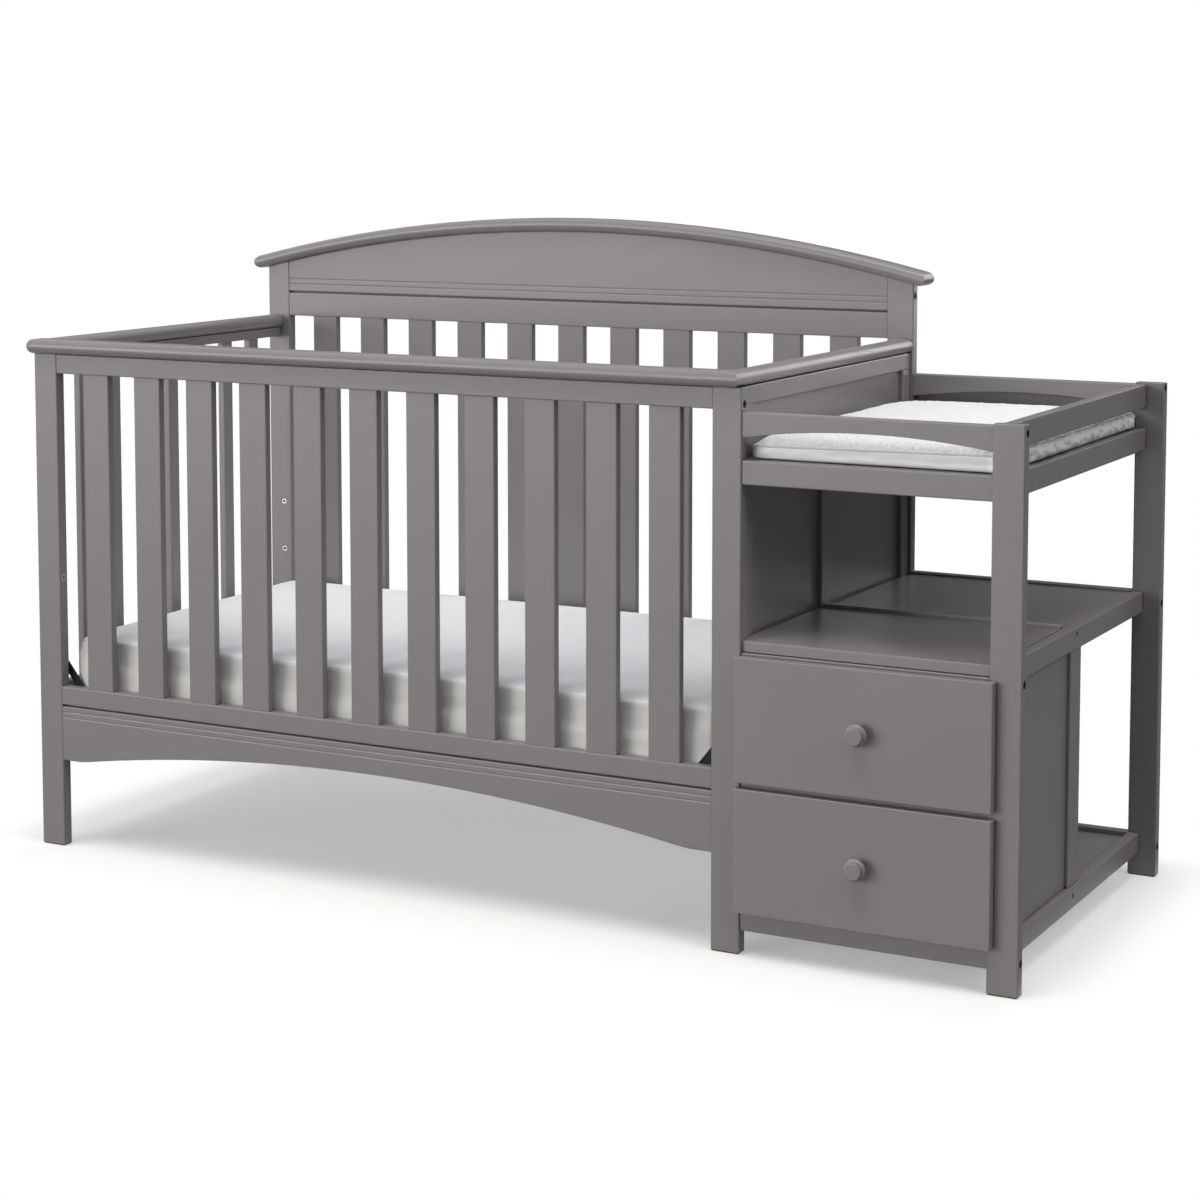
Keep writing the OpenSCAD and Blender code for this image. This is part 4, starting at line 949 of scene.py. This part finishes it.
@dataclass
class Mattress(Cushion):
    """The crib mattress: firm, boxed, with a soft edge and a loose woven cover.

    Args:
        edge_r: Rounding of its long edges, in metres.
        crown: Rise of its top above its edges.
        tuck: How far the cover's upper corners are drawn in, in millimetres.
    """

    node: str = "mattress"
    body: str = "mattress"
    slot: Slot = Slot.MATTRESS
    fill: float = 0.9
    corner_r: float = 0.010
    swell: float = 0.002
    finer: int = 0
    edge_r: float = 0.003
    crown: float = 0.0075
    tuck: float = 11.0

    CORNER: ClassVar[Pair] = (0.95, 0.88)
    SLACK: ClassVar[float] = 40 * MM
    GATHERED: ClassVar[Triple] = (0.93, 0.7, 3.0)
    RIPPLES: ClassVar[tuple[Folds, ...]] = (
        Folds((2.5, 34.0, 30.0), 3.1, 0.99),
        Folds((7.0, 80.0, 60.0), 8.7, 0.44),
    )
    BORDER: ClassVar[Folds] = Folds((5.0, 12.0, 40.0), 5.3, 1.6)
    GATHERS: ClassVar[Folds] = Folds((30.0, 30.0, 14.0), 1.9, 1.0)

    def section(self) -> list[Pair]:
        """Gives a boxed section with rounded edges and a slightly crowned top."""
        bottom, top = self.low.z + self.FOOT, self.high.z - 3.5 * MM
        r, widest = self.edge_r, min(self.half.x, self.half.y)
        arc = [math.radians(15 * k) for k in range(7)]
        turn_in = [(r - r * math.sin(a), bottom + r - r * math.cos(a)) for a in arc]
        turn_out = [(r - r * math.cos(a), top - r + r * math.sin(a)) for a in arc]
        flat = [(share * widest, bottom) for share in (0.9, 0.5, 0.2, 0.08)]
        over = []
        for share in (0.03, 0.07, 0.12, 0.18, 0.25, 0.4, 0.6, 0.9):
            rise = 1 - max(1 - share / 0.25, 0.0) ** 2
            over.append((share * widest, top + self.crown * rise))
        return flat + turn_in + turn_out + over

    def crease(self, point: Vector, normal: Vector) -> float:
        """Gives lengthwise ripples on top, and folds on the border that gather at the ends."""
        end = abs(point.x - self.middle.x) / self.half.x
        across = abs(point.y - self.middle.y) / self.half.y
        corner = ramp(end, self.CORNER[0], 1.0) * ramp(across, self.CORNER[1], 1.0)
        slack = ramp(point.z, self.high.z - self.SLACK, self.high.z)
        ripple = sum(layer.at(point) for layer in self.RIPPLES)
        start, least, more = self.GATHERED
        sides = self.GATHERS.at(point) * (least + more * ramp(end, start, 1.0))
        sides = (sides + self.BORDER.at(point)) * (1.0 - abs(normal.z))
        return (ripple * max(normal.z, 0.0) + sides - self.tuck * corner * slack) * MM


@dataclass
class ChangingPad(Cushion):
    """The changing pad: terry above a piped seam, smooth cloth below it.

    Args:
        seam_z: Height of the piped seam at the left end.
        seam_rise: How much higher it is at the right end.
        shoulders: Width of the curve from the seam to the crown at each side,
            and its power: a higher one stands up more steeply.
        foot_r: Rounding of the lower edge.
        bulge: How far the right side swells out between its guard and its rail.
        bulge_z: Height of its middle, as a distance below the seam, and half its height.
        guard: X just inside the right guard, and Z just below it.
        pipe_d: Diameter of the piping.
        stitch: Length, thickness and pitch of the stitches under the piping.
    """

    node: str = "changing_pad"
    body: str = "changing_pad"
    slot: Slot = Slot.TERRY
    fill: float = 0.7
    corner_r: float = 0.009
    swell: float = 0.0025
    finer: int = 1
    seam_z: float = 0.826
    seam_rise: float = 0.006
    shoulders: tuple[tuple[Side, float, float], ...] = (
        (Side.LEFT, 0.095, 1.9),
        (Side.RIGHT, 0.030, 2.5),
        (Side.FRONT, 0.060, 2.2),
        (Side.BACK, 0.250, 1.3),
    )
    foot_r: float = 0.004
    bulge: float = 0.012
    bulge_z: Pair = (0.006, 0.018)
    guard: Pair = (0.9125, 0.840)
    pipe_d: float = 0.0032
    stitch: Triple = (0.0030, 0.0005, 0.0046)

    PUCKERS: ClassVar[Folds] = Folds((26.0, 26.0, 90.0), 2.2, 1.3)
    WRINKLES: ClassVar[tuple[Folds, ...]] = (
        Folds((20.0, 60.0, 45.0), 6.4, 7.0),
        Folds((30.0, 120.0, 100.0), 9.9, 6.0),
    )
    PILE: ClassVar[tuple[Folds, ...]] = (
        Folds((170.0, 170.0, 170.0), 4.4, 1.6),
        Folds((80.0, 80.0, 80.0), 7.7, 0.9),
    )
    PUFF_RINGS: ClassVar[int] = 20

    def section(self) -> list[Pair]:
        """Gives a section with a full lower edge and a puffed top panel."""
        bottom, rise = self.low.z + self.FOOT, self.high.z - 1.0 * MM - self.seam_z
        widest = min(self.half.x, self.half.y)
        flat = [(share * widest, bottom) for share in (0.9, 0.5, 0.2, 0.1)]
        r, arc = self.foot_r, [math.radians(18 * k) for k in range(6)]
        foot = [(r - r * math.sin(a), bottom + r - r * math.cos(a)) for a in arc]
        shares = [(k / self.PUFF_RINGS) ** 2.2 for k in range(self.PUFF_RINGS + 1)]
        return flat + foot + [(0.9 * widest * share, self.seam_z + rise) for share in shares]

    def outline(self, inset: float, z: float) -> list[Vector]:
        """Gives one closed line round the pad, which follows the seam and sinks at each side."""
        line = super().outline(inset, z)
        for point in line:
            seam = self._seam(point.x)
            if z > self.seam_z:
                rise = (z - self.seam_z) / (self.high.z - self.seam_z)
                point.z = seam + (self.high.z - seam) * rise * self._puff(point)
            else:
                point.z += (seam - self.seam_z) * (z - self.low.z) / (self.seam_z - self.low.z)
        return line

    def _seam(self, x: float) -> float:
        """Gives the height of the seam at a place along X."""
        return self.seam_z + self.seam_rise * (x - self.low.x) / (2 * self.half.x)

    def _puff(self, point: Vector) -> float:
        """Gives the share of the full rise at a point of the top panel."""
        share = 1.0
        for side, width, power in self.shoulders:
            across, along = side.value
            edge = self.half.x * abs(across) + self.half.y * abs(along) - self.air
            out = (point.x - self.middle.x) * across + (point.y - self.middle.y) * along
            inside = min(max((edge - out) / width, 0.0), 1.0)
            share *= (1 - (1 - inside) ** power) ** (1 / power)
        return share

    def crease(self, point: Vector, normal: Vector) -> float:
        """Gives terry's uneven pile above the seam, and wrinkles on the sides below it."""
        seam, foot, guard_z = self._seam(point.x), self.low.z, self.guard[1]
        above = min(ramp(point.z, seam, seam + 4 * MM), 1.0)
        end = abs(point.x - self.middle.x) / self.half.x
        right = min(ramp(end, 0.92, 0.97), 1.0) * (1.0 if point.x > self.middle.x else 0.3)
        drop, reach = self.bulge_z
        free = 1.0 - ((point.z - self.seam_z + drop) / reach) ** 2
        swell = self.bulge * max(free, 0.0) * max(normal.x, 0.0)
        lean = Vector((point.x, point.y + 0.9 * point.z, point.z - 0.5 * point.y))
        wrinkles = sum(layer.at(lean) for layer in self.WRINKLES) - 1.0
        below = 1.0 - min(ramp(point.z, guard_z - 2 * MM, guard_z + 6 * MM), 1.0)
        wrinkles *= right * below * max(normal.x, 0.15)
        pile = sum(layer.at(point) for layer in self.PILE)
        puckers = self.PUCKERS.at(point) * (1 - 0.7 * above) * (1 - 0.6 * above)
        loose = min(ramp(point.z, foot + 3 * MM, foot + 9 * MM), 1.0)
        smooth = (puckers + wrinkles) * loose
        return (smooth + pile * above * (1.0 - right)) * MM + swell

    def keep_clear(self, point: Vector) -> Vector:
        """Moves a point off the deck and off the right guard."""
        guard_x, guard_z = self.guard
        if point.z > guard_z:
            point.x = min(point.x, guard_x)
        return super().keep_clear(point)

    def seam_line(self, piece: Piece, drop: float, proud: float) -> list[Vector]:
        """Follows the cloth round the pad.

        Args:
            piece: The finished pad.
            drop: Distance below the seam.
            proud: How far the line stands off the cloth.

        Returns:
            Points all round.
        """
        tree = BVHTree.FromObject(piece, bpy.context.evaluated_depsgraph_get())
        line = []
        for start in self.outline(-20 * MM, self.seam_z):
            start.z -= drop
            inward = Vector((self.middle.x - start.x, self.middle.y - start.y, 0.0)).normalized()
            hit = tree.ray_cast(start, inward)[0]
            line.append((start if hit is None else hit) - inward * proud)
        return line

    def build(self, wardrobe: Wardrobe) -> Piece:
        """Makes and dresses the pad, its piping and its stitches."""
        piece = super().build(wardrobe)
        pipe = tube("pad_piping", self.seam_line(piece, 0.0, self.pipe_d * 0.15), self.pipe_d)
        row = StitchRow(*self.stitch, wardrobe.thread)
        stitches = row.build("pad_stitches", self.seam_line(piece, self.pipe_d * 1.3, 0.0))
        for trim in (pipe, stitches):
            self.carry(trim, wardrobe.thread)
        return piece


def tube(name: str, line: list[Vector], diameter: float, sides: int = 8) -> Piece:
    """Sweeps a closed round tube along a closed line.

    Args:
        name: The piece's name.
        line: The points that it follows.
        diameter: Its diameter, in metres.
        sides: Faces round it.

    Returns:
        The piece.
    """
    body = bmesh.new()
    count = len(line)
    rings = []
    for i, point in enumerate(line):
        ahead = (line[(i + 1) % count] - line[i - 1]).normalized()
        side = ahead.cross(Vector((0, 0, 1))).normalized()
        up = side.cross(ahead)
        turns = [2 * math.pi * k / sides for k in range(sides)]
        ring = [(side * math.cos(a) + up * math.sin(a)) * diameter / 2 for a in turns]
        rings.append([body.verts.new(point + away) for away in ring])
    for i in range(count):
        here, there = rings[i], rings[(i + 1) % count]
        for k in range(sides):
            j = (k + 1) % sides
            body.faces.new((here[k], there[k], there[j], here[j]))
    bmesh.ops.recalc_face_normals(body, faces=body.faces)
    mesh = bpy.data.meshes.new(name)
    body.to_mesh(mesh)
    body.free()
    mesh.shade_smooth()
    return place_in_scene(name, mesh)


@dataclass(frozen=True)
class StitchRow:
    """A row of stitches along a closed line, made by a geometry tree.

    Args:
        length: Length of one stitch, in metres.
        thick: Its thickness.
        pitch: Distance between two stitches.
        material: The thread.
        uneven: Share by which their sizes differ.
        seed: Seed of these differences.
    """

    length: float
    thick: float
    pitch: float
    material: bpy.types.Material
    uneven: float = 0.1
    seed: int = 7

    FACES: ClassVar[tuple[int, int]] = (6, 4)

    def _group(self) -> tuple[bpy.types.NodeTree, dict[str, str]]:
        """Builds the geometry tree.

        Returns:
            The tree, and the identifiers of its inputs by name.
        """
        group = bpy.data.node_groups.new("stitch_row", "GeometryNodeTree")
        face = group.interface
        face.new_socket(name="Line", in_out="INPUT", socket_type="NodeSocketGeometry")
        names = {}
        for name in ("Length", "Thickness", "Pitch"):
            socket = face.new_socket(name=name, in_out="INPUT", socket_type="NodeSocketFloat")
            names[name] = socket.identifier
        face.new_socket(name="Geometry", in_out="OUTPUT", socket_type="NodeSocketGeometry")
        tree = Tree(group)
        given = tree.add("NodeGroupInput")
        curve = tree.add("GeometryNodeMeshToCurve", {"Mesh": tree.wire(given, "Line")})
        spaced = tree.add("GeometryNodeResampleCurve", {
            "Curve": tree.wire(curve), "Length": tree.wire(given, "Pitch")
        }, mode="LENGTH")
        along = tree.wire(tree.add("GeometryNodeInputTangent"))
        turn = tree.add("FunctionNodeAlignRotationToVector", {"Vector": along}, axis="X")
        segments, rings = self.FACES
        ball = tree.add("GeometryNodeMeshUVSphere", {
            "Segments": segments, "Rings": rings, "Radius": 0.5
        })
        shape = {"X": "Length", "Y": "Thickness", "Z": "Thickness"}
        size = tree.add("ShaderNodeCombineXYZ", {k: tree.wire(given, v) for k, v in shape.items()})
        uneven = tree.add("FunctionNodeRandomValue", {
            "Min_001": 1 - self.uneven, "Max_001": 1 + self.uneven, "Seed": self.seed
        }, data_type="FLOAT")
        grown = tree.wire(size) * tree.wire(uneven, "Value_001")
        placed = tree.add("GeometryNodeInstanceOnPoints", {
            "Points": tree.wire(spaced),
            "Instance": tree.wire(ball),
            "Rotation": tree.wire(turn),
            "Scale": grown,
        })
        real = tree.add("GeometryNodeRealizeInstances", {0: tree.wire(placed)})
        dressed = tree.add("GeometryNodeSetMaterial", {
            "Geometry": tree.wire(real), "Material": self.material
        })
        tree.add("NodeGroupOutput", {"Geometry": tree.wire(dressed)})
        return group, names

    def build(self, name: str, line: list[Vector]) -> Piece:
        """Sews the row.

        Args:
            name: The piece's name.
            line: The points that it follows.

        Returns:
            The stitches as one plain mesh.
        """
        count = len(line)
        mesh = bpy.data.meshes.new(name)
        mesh.from_pydata(line, [(i, (i + 1) % count) for i in range(count)], [])
        piece = place_in_scene(name, mesh)
        group, names = self._group()
        sewn = piece.modifiers.new("stitches", "NODES")
        sewn.node_group = group
        sizes = {"Length": self.length, "Thickness": self.thick, "Pitch": self.pitch}
        for key, size in sizes.items():
            sewn[names[key]] = size
        bake(piece)
        return piece


# ---- The set ----


@dataclass(frozen=True)
class Shot:
    """The camera that stands where the photograph was taken.

    Args:
        focal_px: Focal length in pixels of the 1200 px frame.
        centre_px: Principal point in the same pixels, across and down.
        place: Where the lens is, in metres.
        yaw: Turn to the right of +Y, in radians.
        pitch: Dip below the horizon, in radians.
        roll: Turn about the view line, in radians.
    """

    focal_px: float = 2619.206
    centre_px: Pair = (578.681, 362.106)
    place: Triple = (2.22537, -4.13619, 1.32334)
    yaw: float = -0.49331
    pitch: float = 0.087085
    roll: float = -0.000866

    SENSOR: ClassVar[float] = 36.0
    SIGHT: ClassVar[float] = 60.0

    def build(self) -> None:
        """Makes the camera and gives it to the scene."""
        lens = bpy.data.cameras.new("shot")
        lens.sensor_width = self.SENSOR
        lens.lens = self.SENSOR * self.focal_px / FRAME_SIDE
        half = FRAME_SIDE / 2
        lens.shift_x = (half - self.centre_px[0]) / FRAME_SIDE
        lens.shift_y = (self.centre_px[1] - half) / FRAME_SIDE
        lens.clip_end = self.SIGHT
        camera = place_in_scene("shot", lens)
        ahead = Vector((
            math.sin(self.yaw) * math.cos(self.pitch),
            math.cos(self.yaw) * math.cos(self.pitch),
            -math.sin(self.pitch),
        ))
        turn = ahead.to_track_quat("-Z", "Y").to_matrix().to_4x4()
        roll = Matrix.Rotation(self.roll, 4, "Z")
        camera.matrix_world = Matrix.Translation(self.place) @ turn @ roll
        bpy.context.scene.camera = camera


@dataclass(frozen=True)
class Studio:
    """White floor, white surroundings and soft lamps.

    Args:
        key: Light of the high lamp along X, Y and Z, towards it, where 1 is plain level.
        side_key: Light of the low lamp on the left.
        fill: Light of the weak lamp on the right.
        back: Light of the lamp behind.
        key_tint: Colour of the lamps.
        softness: Width of a lamp as seen from the object, in degrees.
        ambient: Light from all round.
        lean: How much of it is missing on the right, and added on the left.
        ambient_tint: Its colour.
        floor_tone: How much of the light on it the floor gives back to the object.
        floor_tint: Its own colour where it shows.
        lift: White that the floor adds of its own below the object.
        floor_reach: Distances round the object between which the floor turns plain white.
        floor_half: Half the floor's side.
        flags: Dark flags, each as the X and Y of both its ends, its lower and upper edge, and
            the grey that only a gloss sees in it.
    """

    key: Triple = (0.0, -0.12, 0.48)
    side_key: Triple = (-0.38, -0.50, 0.05)
    fill: Triple = (0.24, -0.06, 0.20)
    back: Triple = (0.04, 0.42, 0.07)
    key_tint: Colour = (1.0, 0.98, 0.955)
    softness: float = 36.0
    ambient: float = 0.28
    lean: float = 0.75
    ambient_tint: Colour = (0.86, 0.91, 1.0)
    floor_tone: float = 0.15
    floor_tint: Colour = (1.0, 0.985, 0.96)
    lift: float = 0.33
    floor_reach: Pair = (0.0, 0.13)
    floor_half: float = 12.0
    flags: tuple[tuple[float, ...], ...] = (
        (0.985, -1.2, 0.985, 0.9, 0.0, 2.6, 0.18),
        (0.985, 0.9, 0.985, 3.2, 0.0, 0.80, 0.02),
        (0.985, 3.2, -4.0, 3.2, 0.0, 2.6, 0.08),
    )

    def build(self) -> None:
        """Makes the whole set."""
        self._world()
        self._floor()
        for name in ("key", "side_key", "fill", "back"):
            self._lamp(name, getattr(self, name))
        self._flags()

    def _seen(self, tree: Tree) -> Wire:
        """Gives 1 for what the camera, a gloss or glass sees, and 0 for plain light."""
        path = tree.add("ShaderNodeLightPath")
        seen = tree.wire(path, "Is Camera Ray").largest(tree.wire(path, "Is Glossy Ray"))
        return seen.largest(tree.wire(path, "Is Transmission Ray"))

    def _world(self) -> None:
        """Makes surroundings that look white and light softly."""
        world = bpy.data.worlds.new("surroundings")
        world.use_nodes = True
        bpy.context.scene.world = world
        tree = Tree(world.node_tree)
        tint = (*self.ambient_tint, 1.0)
        way = tree.wire(tree.add("ShaderNodeTexCoord"), "Generated")
        strength = (1.0 - tree.parts(way)[0] * self.lean) * self.ambient
        light = tree.add("ShaderNodeBackground", {"Color": tint, "Strength": strength})
        look = tree.add("ShaderNodeBackground", {"Color": WHITE})
        tree.finish(tree.between(self._seen(tree), light, look), "ShaderNodeOutputWorld")

    def _floor(self) -> None:
        """Lays the floor, which keeps the shadow and fades to plain white."""
        h = self.floor_half
        mesh = bpy.data.meshes.new("floor")
        mesh.from_pydata([(-h, -h, 0), (h, -h, 0), (h, h, 0), (-h, h, 0)], [], [(0, 1, 2, 3)])
        floor = place_in_scene("floor", mesh)
        material, tree = new_material("floor")
        seen = self._seen(tree)
        outside = tree.place().size() - (CAD_BOX[1].x, CAD_BOX[1].y, 1.0)
        far = outside.largest(0.0).length().step(*self.floor_reach)
        tone = seen.choose((self.floor_tone,) * 3, self.floor_tint)
        matt = tree.add("ShaderNodeBsdfDiffuse", {"Color": tone})
        glow = tree.add("ShaderNodeEmission", {"Color": WHITE})
        share = seen * (far * (1 - self.lift) + self.lift)
        tree.finish(tree.between(share, matt, glow))
        mesh.materials.append(material)

    def _flags(self) -> None:
        """Stands dark flags on the right and at the back, which only glossy paint mirrors."""
        corners = []
        for x0, y0, x1, y1, low, high, _ in self.flags:
            corners += [(x0, y0, low), (x1, y1, low), (x1, y1, high), (x0, y0, high)]
        mesh = bpy.data.meshes.new("flags")
        mesh.from_pydata(corners, [], [range(i, i + 4) for i in range(0, len(corners), 4)])
        flags = place_in_scene("flags", mesh)
        for sight in ("camera", "diffuse", "transmission", "shadow"):
            setattr(flags, "visible_" + sight, False)
        for number, spot in enumerate(self.flags):
            material, tree = new_material(f"flag_{number}")
            glow = tree.add("ShaderNodeEmission", {"Color": (*(spot[-1],) * 3, 1.0)})
            tree.finish(tree.wire(glow))
            mesh.materials.append(material)
            mesh.polygons[number].material_index = number

    def _lamp(self, name: str, light: Triple) -> None:
        """Hangs one lamp.

        Args:
            name: Its name.
            light: The light that it gives along each axis, towards it.
        """
        towards = Vector(light)
        lamp = bpy.data.lights.new(name, "SUN")
        lamp.energy = math.pi * towards.length
        lamp.angle = math.radians(self.softness)
        lamp.color = self.key_tint
        holder = place_in_scene(name, lamp)
        holder.matrix_world = towards.to_track_quat("Z", "Y").to_matrix().to_4x4()


def main() -> None:
    """Builds every part of the scene in order."""
    logging.basicConfig(level=logging.INFO)
    bpy.context.scene.view_settings.view_transform = "Standard"
    Shot().build()
    Studio().build()
    wardrobe = Wardrobe()
    for part in frame["record"]["subparts"]:
        wardrobe.dress_node(part["node"], Slot(part["material_slot"]))
    Mattress().build(wardrobe)
    ChangingPad().build(wardrobe)


if __name__ == "__main__":
    main()
